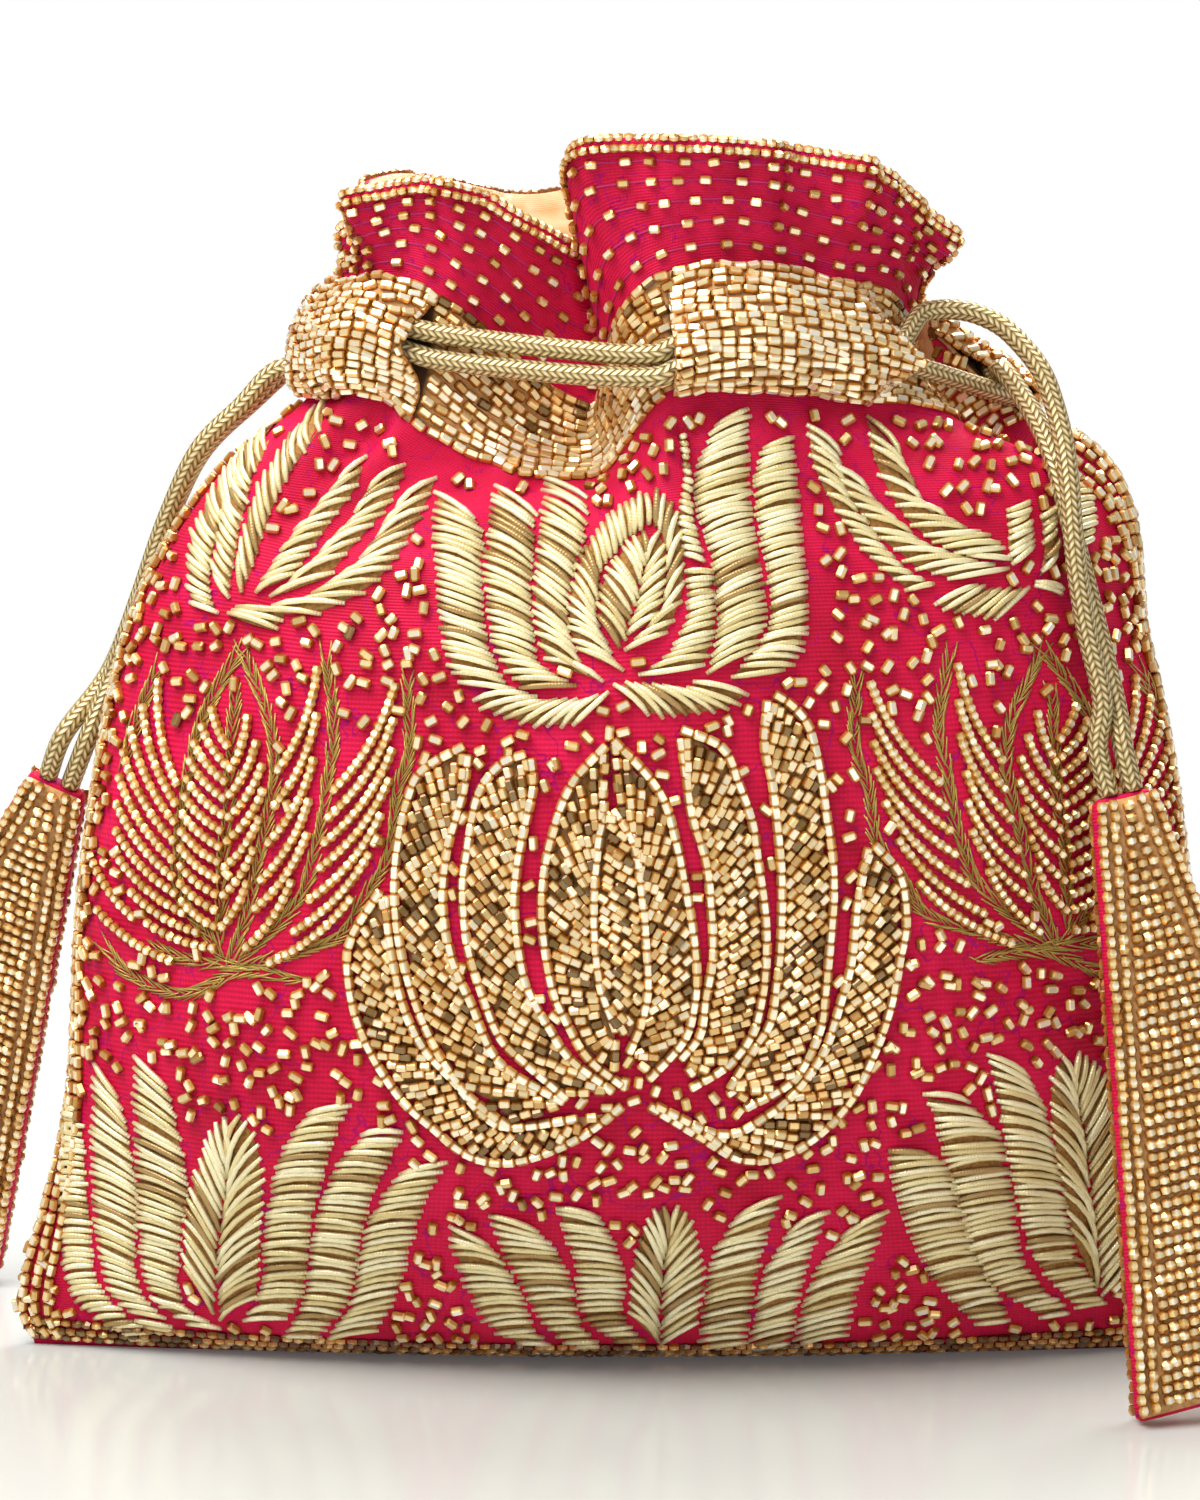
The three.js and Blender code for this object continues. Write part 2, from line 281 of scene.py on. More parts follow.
def along(rows, station):
    # Catmull-Rom spline through a row of values, one to a station
    rows = np.asarray(rows, float)
    held = np.concatenate([[2 * rows[0] - rows[1]], rows, [2 * rows[-1] - rows[-2]]])
    i = np.clip(np.floor(station).astype(int), 0, len(rows) - 2)
    f = station - i
    a, b, c, d = held[i], held[i + 1], held[i + 2], held[i + 3]
    return b + 0.5 * f * ((c - a) + f * ((2 * a - 5 * b + 4 * c - d) + f * (3 * (b - c) + d - a)))


def foldAt(turn, station):
    # 1 in the bottom of a fold, falling off as a bell curve to 0 on the lobes; below the casing the
    # wide folds have a flat bottom
    total = 0
    low = 1 - step(*pouchShape["foldNarrows"], station)
    for centre, before, after, further, wider in pouchShape["folds"]:
        away = turnsAway(turn, centre + further * step(*pouchShape["foldMoves"], station))
        share = np.abs(away) / (np.where(away < 0, before, after) + 0.75 * wider * low)
        total = total + np.exp(-(share ** (2 + wider * low / 4)))
    return np.minimum(total, 1)


# places are stations at which a thing begins and is full, and then wanes and ends
gatherShape = {
    "frill": 2.8,  # how far the frill's flutes stand out
    "frillPlace": (6.8, 8.0),
    "flutes": [(0.55, 14, 0.4), (0.4, 22, 1.9), (0.25, 40, 4.1)],  # size, count, phase
    "shoulder": 1.2,
    "shoulderPlace": (4.5, 5.8, 6.0, 6.6),
    "pleats": [(0.6, 22, 2.2), (0.4, 34, 0.7)],
    "body": 0.9,
    "bodyPlace": (0.2, 1.5, 4.5, 5.5),
    "dents": [(6, 1.1, 0.0), (4, -1.7, 2.0)],  # count, drift from station to station, phase
    # creases down from the gathers: turn at the top and at the foot, stations, depth, half width
    "creases": [
        (277, 278, 4.7, 6.1, 2.2, 3.0),
        (219, 221, 4.5, 6.1, 2.6, 4.0),
        (312, 309, 5.0, 6.1, 1.6, 3.5),
    ],
    "curl": 8.0,  # how far the next lobe's frill laps over a fold
    "curlPlace": (11.0, 9.0),  # degrees past the fold, and half width
    "sway": [(2.0, 6, 2.92)],
    "swayPlace": (5.5, 6.3, 7.2, 8.0),
    "lapPlace": (6.9, 8.0),
    "hemPlace": (7.0, 8.0),
    "hemNarrow": 1.3,  # how much narrower a fold is at the hem than at the casing
    "droop": 11.0,  # how much lower the hem hangs at the sides
    "ends": [(186.0, 18.0, 6.0, 5.0), (374.0, 16.0, 8.0, 9.0)],  # turn, half width, drawn in, lowered
    "backDip": (108.0, 24.0, 11.0),  # turn, half width, and how much lower the hem is there
    "lowLobe": 2.0,  # how much lower the left lobe's hem is than the right one's
    "lobeTurns": (0, 15, 50, 70),
}


def gathers(turn, station):
    # how far the drawn-up cloth ripples out: flutes in the frill, pleats that fade over the
    # shoulder, creases below them and slow dents lower down; all have a half turn as their period
    a = np.radians(turn)
    flutes, pleats = waves(gatherShape["flutes"], a), waves(gatherShape["pleats"], a)
    dents = 1
    for count, drift, phase in gatherShape["dents"]:
        dents = dents * np.sin(count * a + drift * station + phase)
    frill = step(*gatherShape["frillPlace"], station) * gatherShape["frill"]
    shoulder = riseAndFall(gatherShape["shoulderPlace"], station) * gatherShape["shoulder"]
    body = riseAndFall(gatherShape["bodyPlace"], station) * gatherShape["body"]
    out = frill * flutes + shoulder * pleats + body * dents
    for top, foot, low, high, depth, width in gatherShape["creases"]:
        share = np.clip((station - low) / (high - low), 0, 1)
        away = ((turn - foot - (top - foot) * share + 90) % 180 - 90) / width
        fade = riseAndFall((low, low + 0.6, high - 0.4, high), station)
        out = out - depth * fade * (1 - 1.2 * away**2) * bell(away)
    return out


def lapped(turn, station):
    # how far the frill leans over the fold beside it, a bell curve a little way past the fold
    total = 0
    past, width = gatherShape["curlPlace"]
    for fold in pouchShape["folds"][::2]:
        total = total + bell((turnsAway(turn, fold[0]) - past) / width)
    return gatherShape["curl"] * total * step(*gatherShape["lapPlace"], station)


def sway(turn, station):
    # the casing hangs in slow waves, three to the half turn
    return riseAndFall(gatherShape["swayPlace"], station) * waves(gatherShape["sway"], np.radians(turn))


def hemFall(turn, station):
    # how much lower the frill hangs: a power of the cosine towards the sides, a step over the left
    # lobe, and bell curves at the back and at the frill's ends
    side = gatherShape["droop"] * np.abs(np.cos(np.radians(turn))) ** 2.5
    lobe = riseAndFall(gatherShape["lobeTurns"], turn % 180)
    centre, width, depth = gatherShape["backDip"]
    dip = depth * bell((turn - centre) / width)
    for centre, width, _, lower in gatherShape["ends"]:
        dip = dip + lower * bell(turnsAway(turn, centre) / width)
    return (side + gatherShape["lowLobe"] * lobe + dip) * step(*gatherShape["lapPlace"], station)


slumpShape = {
    "out": 12.0,
    "down": 8.0,
    "sides": (40.0, 60.0),  # how far right it begins and is full, in mm
    "heights": (128.0, 166.0, 180.0, 197.0),  # begins, is full, wanes and ends
    "drops": (164.0, 186.0),
    "tries": 20,
}


def slumped(points):
    # the right shoulder lies fuller and lower: smooth steps across and up say how much of the move
    # a point takes
    x, y, z = np.moveaxis(points, -1, 0)
    share = step(*slumpShape["sides"], x)
    out = slumpShape["out"] * share * riseAndFall(slumpShape["heights"], z)
    down = slumpShape["down"] * share * step(*slumpShape["drops"], z)
    return np.stack([x + out, y, z - down], axis=-1)


def unslumped(points):
    # the place from which the slump moves a point here: a guess bettered step by step
    guess = points
    for _ in range(slumpShape["tries"]):
        guess = guess + 0.7 * (points - slumped(guess))
    return guess


def pouch(turn, station, offset=0.0):
    # a point of the pouch's outer face: an ellipse drawn out to a seam at the sides, pressed in
    # and lowered where a fold runs, moved out by an offset, then slumped
    turn, station = np.broadcast_arrays(np.asarray(turn, float), np.asarray(station, float))
    angle = np.radians(turn)
    c, s = np.cos(angle), np.sin(angle)
    fold = foldAt(turn, station)
    sharp = np.maximum(along(pouchShape["seamShare"], station), 0)
    inward = fold * along(pouchShape["foldShare"], station)
    out = offset + gathers(turn, station)
    halfWidth = along(pouchShape["halfWidth"], station) - inward * pouchShape["sideFold"] + out
    halfDepth = along(pouchShape["halfDepth"], station) - inward * pouchShape["frontFold"] + out
    atHem = step(*gatherShape["hemPlace"], station)
    for centre, width, drawn, _ in gatherShape["ends"]:
        halfWidth = halfWidth - drawn * bell(turnsAway(turn, centre) / width) * atHem
    slip = fold * pouchShape["foldLean"] * along(pouchShape["leanShare"], station) - lapped(turn, station)
    x = halfWidth * c - slip * s
    y = halfDepth * s * np.maximum(np.abs(s), 1e-9) ** sharp + slip * c
    z = along(pouchShape["height"], station)
    dropped = fold ** (1 + gatherShape["hemNarrow"] * atHem)
    z = z - dropped * pouchShape["foldDrop"] * along(pouchShape["dropShare"], station)
    z = z - hemFall(turn, station) + sway(turn, station)
    return slumped(np.stack([x, y, z], axis=-1))


def pouchNormal(turn, station):
    # square to the two directions in which the face runs
    across = pouch(turn + 0.4, station) - pouch(turn - 0.4, station)
    climb = pouch(turn, station + 0.02) - pouch(turn, station - 0.02)
    return unit(np.cross(across, climb))


def halfTurn(points):
    # the back of the pouch repeats the front, turned by half a turn before the slump
    return slumped(unslumped(points) * np.array([-1.0, -1.0, 1.0]))


# silk: plain-woven filament, so a close crossing of lit and shaded threads over a bright crimson
def silkMaterial():
    material, tree, shader = newMaterial("wovenSilk", Roughness=0.6, Specular_IOR_Level=0.15)
    place = addNode(tree, "TexCoord").outputs["UV"]  # the panels' uv is in mm of cloth
    threads = []
    for direction in ("X", "Y"):  # a thread every 0.6 mm: the real 0.2 mm is too fine to show
        thread = addNode(tree, "TexWave", {"bands_direction": direction}, Vector=place, Scale=0.5)
        thread.inputs["Distortion"].default_value = 0.6
        thread.inputs["Detail Scale"].default_value = 0.3
        threads.append(thread.outputs[1])
    # the weft's ribs show more than the warp
    scaled = {"operation": "MULTIPLY_ADD"}
    soft = addNode(tree, "Math", scaled, in0=threads[0], in1=0.45, in2=0.55).outputs[0]
    weave = addNode(tree, "Math", {"operation": "MULTIPLY"}, in0=soft, in1=threads[1]).outputs[0]
    blotch = addNode(tree, "TexNoise", Vector=place, Scale=0.06, Detail=4).outputs[0]
    mixed = addNode(tree, "Math", scaled, in0=weave, in1=0.26, in2=blotch).outputs[0]
    stops = [(0.3, "#a4082a"), (0.6, "#cc0f3e"), (0.95, "#e61c56")]
    cloth = addNode(tree, "ValToRGB", {"stops": stops}, Fac=mixed).outputs[0]
    # ends of purple sewing thread that stray from bead to bead
    stray = addNode(tree, "TexNoise", Vector=place, Scale=0.1, Detail=3).outputs[0]
    thread = addNode(tree, "Math", {"operation": "COMPARE"}, in0=stray, in1=0.5, in2=0.006).outputs[0]
    colour = addNode(tree, "Mix", {"data_type": "RGBA"}, in0=thread, in6=cloth, in7=linear("#b0045c"))
    tree.links.new(colour.outputs[2], shader.inputs["Base Color"])
    bump = addNode(tree, "Bump", Strength=0.5, Distance=0.0002, Height=weave)
    tree.links.new(bump.outputs[0], shader.inputs["Normal"])
    return material


# gold cloth behind the close beadwork: matt tan, so the gaps between the beads read as brown gold
def groundMaterial():
    material, tree, shader = newMaterial("goldGround", Roughness=0.7, Specular_IOR_Level=0.2)
    place = addNode(tree, "TexCoord").outputs["Object"]
    fleck = addNode(tree, "TexNoise", Vector=place, Scale=900.0, Detail=3).outputs[0]
    stops = [(0.3, "#b9824c"), (0.7, "#dcae74")]
    tan = addNode(tree, "ValToRGB", {"stops": stops}, Fac=fleck).outputs[0]
    # painted shade: the second uv value darkens the cloth inside the tunnels, as the shade there
    side = addNode(tree, "SeparateXYZ", Vector=addNode(tree, "TexCoord").outputs["UV"]).outputs[1]
    stops = [(0.2, "#50402c"), (0.8, "#ffffff")]  # painted shade: dark where the uv's v is 0, on the inner faces of the tunnels and the tape inside them
    shade = addNode(tree, "ValToRGB", {"stops": stops}, Fac=side).outputs[0]
    multiply = {"data_type": "RGBA", "blend_type": "MULTIPLY"}
    colour = addNode(tree, "Mix", multiply, in0=1.0, in6=tan, in7=shade)
    tree.links.new(colour.outputs[2], shader.inputs["Base Color"])
    return material


# felt under the wire: it shows only as brown in the gaps
def feltMaterial():
    material, tree, shader = newMaterial("feltPadding", Roughness=0.9, Specular_IOR_Level=0.1)
    place = addNode(tree, "TexCoord").outputs["Object"]
    fibre = addNode(tree, "TexNoise", Vector=place, Scale=1500.0, Detail=4).outputs[0]
    stops = [(0.3, "#85582a"), (0.7, "#b48850")]
    colour = addNode(tree, "ValToRGB", {"stops": stops}, Fac=fibre).outputs[0]
    tree.links.new(colour, shader.inputs["Base Color"])
    return material


# satin: long floats of weft, smoother and shinier than the silk, with faint cross lines
def satinMaterial():
    material, tree, shader = newMaterial("satinLining", Roughness=0.38, Sheen_Weight=0.2)
    place = addNode(tree, "TexCoord").outputs["UV"]
    floats = addNode(tree, "TexWave", {"bands_direction": "Y"}, Vector=place, Scale=0.5, Distortion=1.0)
    stops = [(0.0, "#cc8a52"), (1.0, "#e3a26a")]
    colour = addNode(tree, "ValToRGB", {"stops": stops}, Fac=floats.outputs[1]).outputs[0]
    tree.links.new(colour, shader.inputs["Base Color"])
    bump = addNode(tree, "Bump", Strength=0.2, Distance=0.0001, Height=floats.outputs[1])
    tree.links.new(bump.outputs[0], shader.inputs["Normal"])
    return material


# silver-lined amber glass: the pale lining is painted on the side turned out from the cloth, partly the
# lining's own colour and partly a painted highlight, near white at its most; the glass round it is honey
# brown; a bead's uv holds how far out a corner is turned and the bead's own tone
def beadMaterial():
    material, tree, shader = newMaterial(
        "linedGlass", Metallic=0.5, Roughness=0.22, Coat_Weight=0.6, Coat_Roughness=0.04
    )
    place = addNode(tree, "SeparateXYZ", Vector=addNode(tree, "TexCoord").outputs["UV"])
    # painted highlight: the near white end of this ramp goes on the facets turned out from the cloth
    stops = [(0.0, "#9a6226"), (0.5, "#cb8e42"), (0.8, "#deac60"), (0.87, "#f4e0b2"), (0.96, "#fff9ea")]
    glassAndHighlight = addNode(tree, "ValToRGB", {"stops": stops}, Fac=place.outputs[0]).outputs[0]
    stops = [(0.0, "#82683c"), (0.06, "#c99f5c"), (0.3, "#ecd5a2"), (1.0, "#fffdf6")]
    tone = addNode(tree, "ValToRGB", {"stops": stops}, Fac=place.outputs[1]).outputs[0]
    multiply = {"data_type": "RGBA", "blend_type": "MULTIPLY"}
    colour = addNode(tree, "Mix", multiply, in0=1.0, in6=glassAndHighlight, in7=tone)
    tree.links.new(colour.outputs[2], shader.inputs["Base Color"])
    return material


# bullion: fine gilt wire wound into a spring and cut to length, so pale gold with close rings
def wireMaterial():
    material, tree, shader = newMaterial("bullionWire", Metallic=0.4, Roughness=0.3)
    place = addNode(tree, "SeparateXYZ", Vector=addNode(tree, "TexCoord").outputs["UV"])
    stops = [(0.0, "#96703e"), (0.12, "#ccae74"), (0.3, "#ead89e"), (1.0, "#faf0c8")]
    tone = addNode(tree, "ValToRGB", {"stops": stops}, Fac=place.outputs[1]).outputs[0]
    tree.links.new(tone, shader.inputs["Base Color"])
    turns = addNode(tree, "Math", {"operation": "SINE"}, in0=place.outputs[0])  # u is in ring angle
    bump = addNode(tree, "Bump", Strength=0.25, Distance=0.0001, Height=turns.outputs[0])
    tree.links.new(bump.outputs[0], shader.inputs["Normal"])
    return material


# gilt braid: metallic yarn plaited over a core, so columns of stitches that slant by turns left
# and right, with holes between that are painted dark as shade; u counts the columns and v the stitches
def braidMaterial():
    material, tree, shader = newMaterial("giltBraid", Metallic=0.4, Roughness=0.38)
    place = addNode(tree, "SeparateXYZ", Vector=addNode(tree, "TexCoord").outputs["UV"]).outputs
    # 1 or -1 by turns, column after column, and where in its column a point lies
    share = addNode(tree, "Math", {"operation": "FRACT"}, in0=place[0]).outputs[0]
    number = addNode(tree, "Math", {"operation": "FLOOR"}, in0=place[0]).outputs[0]
    odd = addNode(tree, "Math", {"operation": "MODULO"}, in0=number, in1=2.0).outputs[0]
    way = addNode(tree, "Math", {"operation": "MULTIPLY_ADD"}, in0=odd, in1=2.0, in2=-1.0).outputs[0]
    # stitches lean that way and are highest in the middle of a column
    off = addNode(tree, "Math", {"operation": "SUBTRACT"}, in0=share, in1=0.5).outputs[0]
    lean = addNode(tree, "Math", {"operation": "MULTIPLY"}, in0=way, in1=off).outputs[0]
    run = addNode(tree, "Math", {"operation": "MULTIPLY_ADD"}, in0=lean, in1=0.9, in2=place[1]).outputs[0]
    stitch = addNode(tree, "Math", {"operation": "PINGPONG"}, in0=run, in1=0.5).outputs[0]
    doubled = addNode(tree, "Math", {"operation": "MULTIPLY"}, in0=stitch, in1=2.0).outputs[0]
    crest = addNode(tree, "Math", {"operation": "POWER"}, in0=doubled, in1=0.6).outputs[0]
    column = addNode(tree, "Math", {"operation": "PINGPONG"}, in0=share, in1=0.5).outputs[0]
    ridge = addNode(tree, "Math", {"operation": "POWER"}, in0=column, in1=0.3).outputs[0]
    raised = addNode(tree, "Math", {"operation": "MULTIPLY"}, in0=crest, in1=ridge).outputs[0]
    # painted shade: the colour darkens from the crests down into the holes between the stitches
    stops = [(0.1, "#5a4522"), (0.4, "#b99e66"), (0.62, "#e0cc9a"), (0.8, "#f7ecc9")]
    colour = addNode(tree, "ValToRGB", {"stops": stops}, Fac=raised).outputs[0]
    tree.links.new(colour, shader.inputs["Base Color"])
    bump = addNode(tree, "Bump", Strength=0.7, Distance=0.0003, Height=raised)
    tree.links.new(bump.outputs[0], shader.inputs["Normal"])
    return material


silk = silkMaterial()
goldGround = groundMaterial()
felt = feltMaterial()
satin = satinMaterial()
beadGlass = beadMaterial()
bullion = wireMaterial()
braid = braidMaterial()
# olive-gold metal thread, duller than the wire, and the purple thread that the beads are sewn with
giltThread, _, _ = newMaterial("giltThread", Base_Color=linear("#b2964a"), Metallic=0.5, Roughness=0.4)
sewingThread, _, _ = newMaterial("sewingThread", Base_Color=linear("#b0045c"), Roughness=0.6)
print("materials made")


# the drawcords, each a loop round the neck with both ends at its own tab
cordFacts = {
    "diameter": 3.6,
    "spacing": 4.1,
    "room": 5.6,  # the tunnels' height inside
    "mouths": [(225, 0.1), (276, -0.18)],  # turn, and how much higher in the casing the cords run
    "mouthSpread": 9.0,  # degrees
    "mouthLead": 3.0,
    "pointEvery": 9.0,  # degrees of tunnel
    "sunk": 0.2,  # how far below the middle of the room they lie
    "tabLead": 9.0,
    "tabGap": 0.4,
    "sides": 20,
    "step": 0.7,
    "columns": 10,  # of stitches round the cord
    "stitch": 1.4,
    "lean": 0.9,  # of a stitch, in stitches
    "girth": (0.95, 0.07),  # of the diameter between the stitches, and what they add
}
tunnels = {
    "casing_front_left": (181, 225),
    "casing_front_right": (276, 319),
    "casing_back_left": (90, 143),
    "casing_back_right": (1, 41),
}
tabShape = {
    "length": 106.0,
    "topWidth": 11.0,
    "bottomWidth": 46.0,
    "core": 3.6,
    "right": {"top": (84, -33, 107.2), "turns": (-8, -13, 12)},
    "left": {"top": (-105, 10, 102.7), "turns": (20, 21, -12)},
}


def tabFrame(side):
    # the turn of a tab, about X after Y after Z, and where the middle of its top stands
    x, y, z = np.radians(tabShape[side]["turns"])
    aboutX = np.array([[1, 0, 0], [0, np.cos(x), -np.sin(x)], [0, np.sin(x), np.cos(x)]])
    aboutY = np.array([[np.cos(y), 0, np.sin(y)], [0, 1, 0], [-np.sin(y), 0, np.cos(y)]])
    aboutZ = np.array([[np.cos(z), -np.sin(z), 0], [np.sin(z), np.cos(z), 0], [0, 0, 1]])
    return aboutX @ aboutY @ aboutZ, np.array(tabShape[side]["top"], float)


def tabEnd(side, sideways):
    # the last of a cord: straight out of the tab's top
    turned, top = tabFrame(side)
    ups = np.array([pouchShape["gap"], cordFacts["tabLead"]])
    return np.stack([np.full(2, sideways), np.zeros(2), ups], axis=-1) @ turned.T + top


def cordShare(turn):
    # how far up the casing the cords run: half way, with a bell curve added at two of the mouths
    share = 0.5
    for mouth, higher in cordFacts["mouths"]:
        share = share + higher * bell((turn - mouth) / cordFacts["mouthSpread"])
    return share


def throughTunnel(name, height):
    # along the middle of a tunnel, and straight on for a little past its mouths
    first, last = tunnels[name]
    turn = np.linspace(first, last, round((last - first) / cordFacts["pointEvery"]) + 1)
    station = casingLow + cordShare(turn) + height / pouchShape["casingHeight"]
    inside = pouch(turn, station, pouchShape["gap"] + cordFacts["room"] / 2 - cordFacts["sunk"])
    lead = cordFacts["mouthLead"]
    before = inside[0] + lead * unit(inside[0] - inside[1])
    after = inside[-1] + lead * unit(inside[-1] - inside[-2])
    return np.concatenate([[before], inside, [after]])


# where the cords hang free, from the neck down to the tabs
freeStretches = {
    "rightFront": [
        (50, -15, 189.2), (57.3, -13.5, 189.6), (63.3, -14, 187.3), (67.3, -16, 183.7), (70.7, -18.5, 179),
        (72.8, -21, 173), (74.2, -24, 166.5), (74.9, -26.5, 160), (75.4, -28.5, 152.5), (76.3, -30, 144),
        (78, -31, 134.5), (80.6, -32, 123),
    ],
    "rightBack": [
        (64.5, -6.5, 179), (67.8, -12.5, 174.5), (70.8, -17.5, 169), (73, -21.5, 163), (75, -23.7, 155),
        (77.3, -25.2, 146), (80.3, -26.7, 134.5), (83.5, -29.5, 121),
    ],
    "leftFront": [
        (-64, 4, 178), (-70.5, 5, 171.5), (-78, 6, 164), (-84, 7.5, 152), (-89.5, 8.5, 137),
        (-95, 9.5, 122),
    ],
    "leftBack": [
        (-60, 18, 179), (-69.5, 13, 171.5), (-78, 11, 163.2), (-84.3, 12, 151), (-90, 13, 136),
        (-96, 13, 122),
    ],
}


def cordRoute(side):
    # tab, free stretch, the four tunnels, free stretch, tab
    strand = cordFacts["diameter"] / 2 + cordFacts["tabGap"]
    rise = cordFacts["spacing"] / 2
    front, back = freeStretches[side + "Front"], freeStretches[side + "Back"]
    if side == "right":
        order = ["casing_front_right", "casing_front_left", "casing_back_left", "casing_back_right"]
        loops = [throughTunnel(name, rise)[::-1] for name in order]
        ends = tabEnd(side, -strand), tabEnd(side, strand)
    else:
        order = ["casing_front_left", "casing_front_right", "casing_back_right", "casing_back_left"]
        loops = [throughTunnel(name, -rise) for name in order]
        ends = tabEnd(side, strand), tabEnd(side, -strand)
    return np.concatenate([ends[0], front[::-1], *loops, back, ends[1][::-1]])


def smoothPath(points, stepLength):
    # a Hermite spline with knots a square root of the distance apart, then even steps along it
    gaps = np.linalg.norm(np.diff(points, axis=0), axis=1) ** 0.5
    knots = np.concatenate([[0], np.cumsum(gaps)])
    slopes = np.gradient(points, knots, axis=0)
    fine = np.linspace(0, knots[-1], 40 * len(points))
    i = np.clip(np.searchsorted(knots, fine, side="right") - 1, 0, len(knots) - 2)
    h = (knots[i + 1] - knots[i])[:, None]
    f = ((fine - knots[i])[:, None]) / h
    curve = (
        (1 + 2 * f) * (1 - f) ** 2 * points[i]
        + f * (1 - f) ** 2 * h * slopes[i]
        + f * f * (3 - 2 * f) * points[i + 1]
        + f * f * (f - 1) * h * slopes[i + 1]
    )
    run = runAlong(curve)
    even = np.linspace(0, run[-1], int(run[-1] / stepLength) + 1)
    return np.stack([np.interp(even, run, curve[:, k]) for k in range(3)], axis=-1), even


def carried(path):
    # directions across a path that turn with it and never spin: each is the last, made square again
    tangents = unit(np.gradient(path, axis=0))
    across = np.zeros_like(path)
    across[0] = unit(np.cross(tangents[0], [0.31, 0.94, 0.11]))
    for i in range(1, len(path)):
        across[i] = across[i - 1] - tangents[i] * (across[i - 1] @ tangents[i])
        across[i] /= np.linalg.norm(across[i])
    return across, np.cross(tangents, across)


def makeCord(side):
    # a round section carried along the route, its skin raised in slanting stitches
    path, run = smoothPath(cordRoute(side), cordFacts["step"])
    across, other = carried(path)
    angle = np.linspace(0, 2 * np.pi, cordFacts["sides"], endpoint=False)
    lengthwise, turned = np.meshgrid(run, angle, indexing="ij")
    column = turned * cordFacts["columns"] / (2 * np.pi)
    stitch = lengthwise / cordFacts["stitch"]
    way = 2 * (np.floor(column) % 2) - 1
    raised = np.abs(np.sin(np.pi * (stitch + way * cordFacts["lean"] * (column % 1 - 0.5))))
    least, more = cordFacts["girth"]
    radius = cordFacts["diameter"] / 2 * (least + more * raised)
    section = across[:, None] * np.cos(angle)[:, None] + other[:, None] * np.sin(angle)[:, None]
    points = (path[:, None] + radius[..., None] * section).reshape(-1, 3)
    columns = cordFacts["sides"]
    quads = gridQuads(len(path), columns, 0, ring=True)[:, ::-1]
    ring = np.arange(columns)
    fan = np.stack([np.zeros(columns // 2 - 1, int), ring[1:-2:2], ring[2:-1:2], ring[3::2]], axis=-1)
    quads = np.concatenate([quads, fan, fan[:, ::-1] + len(points) - columns])
    uv = np.stack([column, stitch], axis=-1).reshape(-1, 2)
    piece = buildMesh(side + "_cord", points, quads, uv, braid, "braid")
    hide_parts(side + "_drawcord")
    return piece, path, run[-1]


cords = {side: makeCord(side) for side in ("right", "left")}
for side, (piece, path, length) in cords.items():
    print(side, "cord", round(length), "mm")


# the cloth layers: the panels' grid, their flat size, and the lining's coarser grid
clothGrid = {"columns": 113, "rows": 96, "footRows": 4, "wide": 224.0, "tall": 240.0}
liningGrid = {"columns": 160, "rows": 46, "footRows": 3}


def clothLayer(turns, inset, rows, footRows):
    # rows run from the seam under the pouch out to the foot's edge and then up to the hem
    station = np.linspace(0, hemStation, rows)
    side = pouch(turns[None, :], station[:, None], -inset)
    side[..., 2] = np.maximum(side[..., 2], inset)
    inwards = np.linspace(0, 1, footRows, endpoint=False)
    foot = np.repeat(side[:1], footRows, axis=0)
    foot[..., 1] *= inwards[:, None]
    foot[..., 2] = inset
    return np.concatenate([foot, side])


def clothUv(turns, rows, footRows):
    # mm of cloth across and up, as the flat panel was cut
    tall = np.linspace(0, clothGrid["tall"], footRows + rows)
    wide = (turns - turns.mean()) / 180 * clothGrid["wide"]
    u, v = np.meshgrid(wide, tall)
    return np.stack([u, v], axis=-1).reshape(-1, 2)


def makePanel(name, first, way):
    # a wall of cloth round half the pouch, moved a hair off the other half
    turns = np.linspace(first, first + 180, clothGrid["columns"])
    rows, footRows = clothGrid["rows"], clothGrid["footRows"]
    outer = clothLayer(turns, 0.0, rows, footRows)
    inner = clothLayer(turns, pouchShape["cloth"], rows, footRows)
    points, quads = clothWall(outer, inner)
    points[:, 1] += way * pouchShape["gap"] / 2
    uv = np.tile(clothUv(turns, rows, footRows), (2, 1))
    piece = buildMesh(name, points, quads, uv, silk, "silk")
    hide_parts(name)


makePanel("front_panel", 180, -1)
makePanel("back_panel", 0, 1)


def makeLining():
    # a closed ring of cloth inside the panels, which follows them
    turns = np.linspace(0, 360, liningGrid["columns"], endpoint=False)
    rows, footRows = liningGrid["rows"], liningGrid["footRows"]
    inset = pouchShape["cloth"] + pouchShape["gap"]
    outer = clothLayer(turns, inset, rows, footRows)
    inner = clothLayer(turns, inset + pouchShape["liningCloth"], rows, footRows)
    points, quads = clothWall(outer, inner, ring=True)
    uv = np.tile(clothUv(turns, rows, footRows), (2, 1))
    piece = buildMesh("satin_lining", points, quads, uv, satin, "satin")
    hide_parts("lining")


makeLining()
print("cloth made")


# the embroidery; its outlines are drawn as the camera above sees them, in its pixels
wireFacts = {
    "pitch": 6.3,  # pixels from wire to wire
    "stray": 1.0,  # pixels
    "bow": (0.13, 0.05),  # of the length: the mean and the spread
    "radius": 0.58,
    "taper": 0.3,
    "lift": 0.35,
    "rise": 0.9,
    "uneven": 0.12,
    "rings": 5,
    "coil": 0.55,
    "dull": (0.08, 0.05),  # the share of darker wires, picked at random, and their tone
    "padding": 0.5,
}
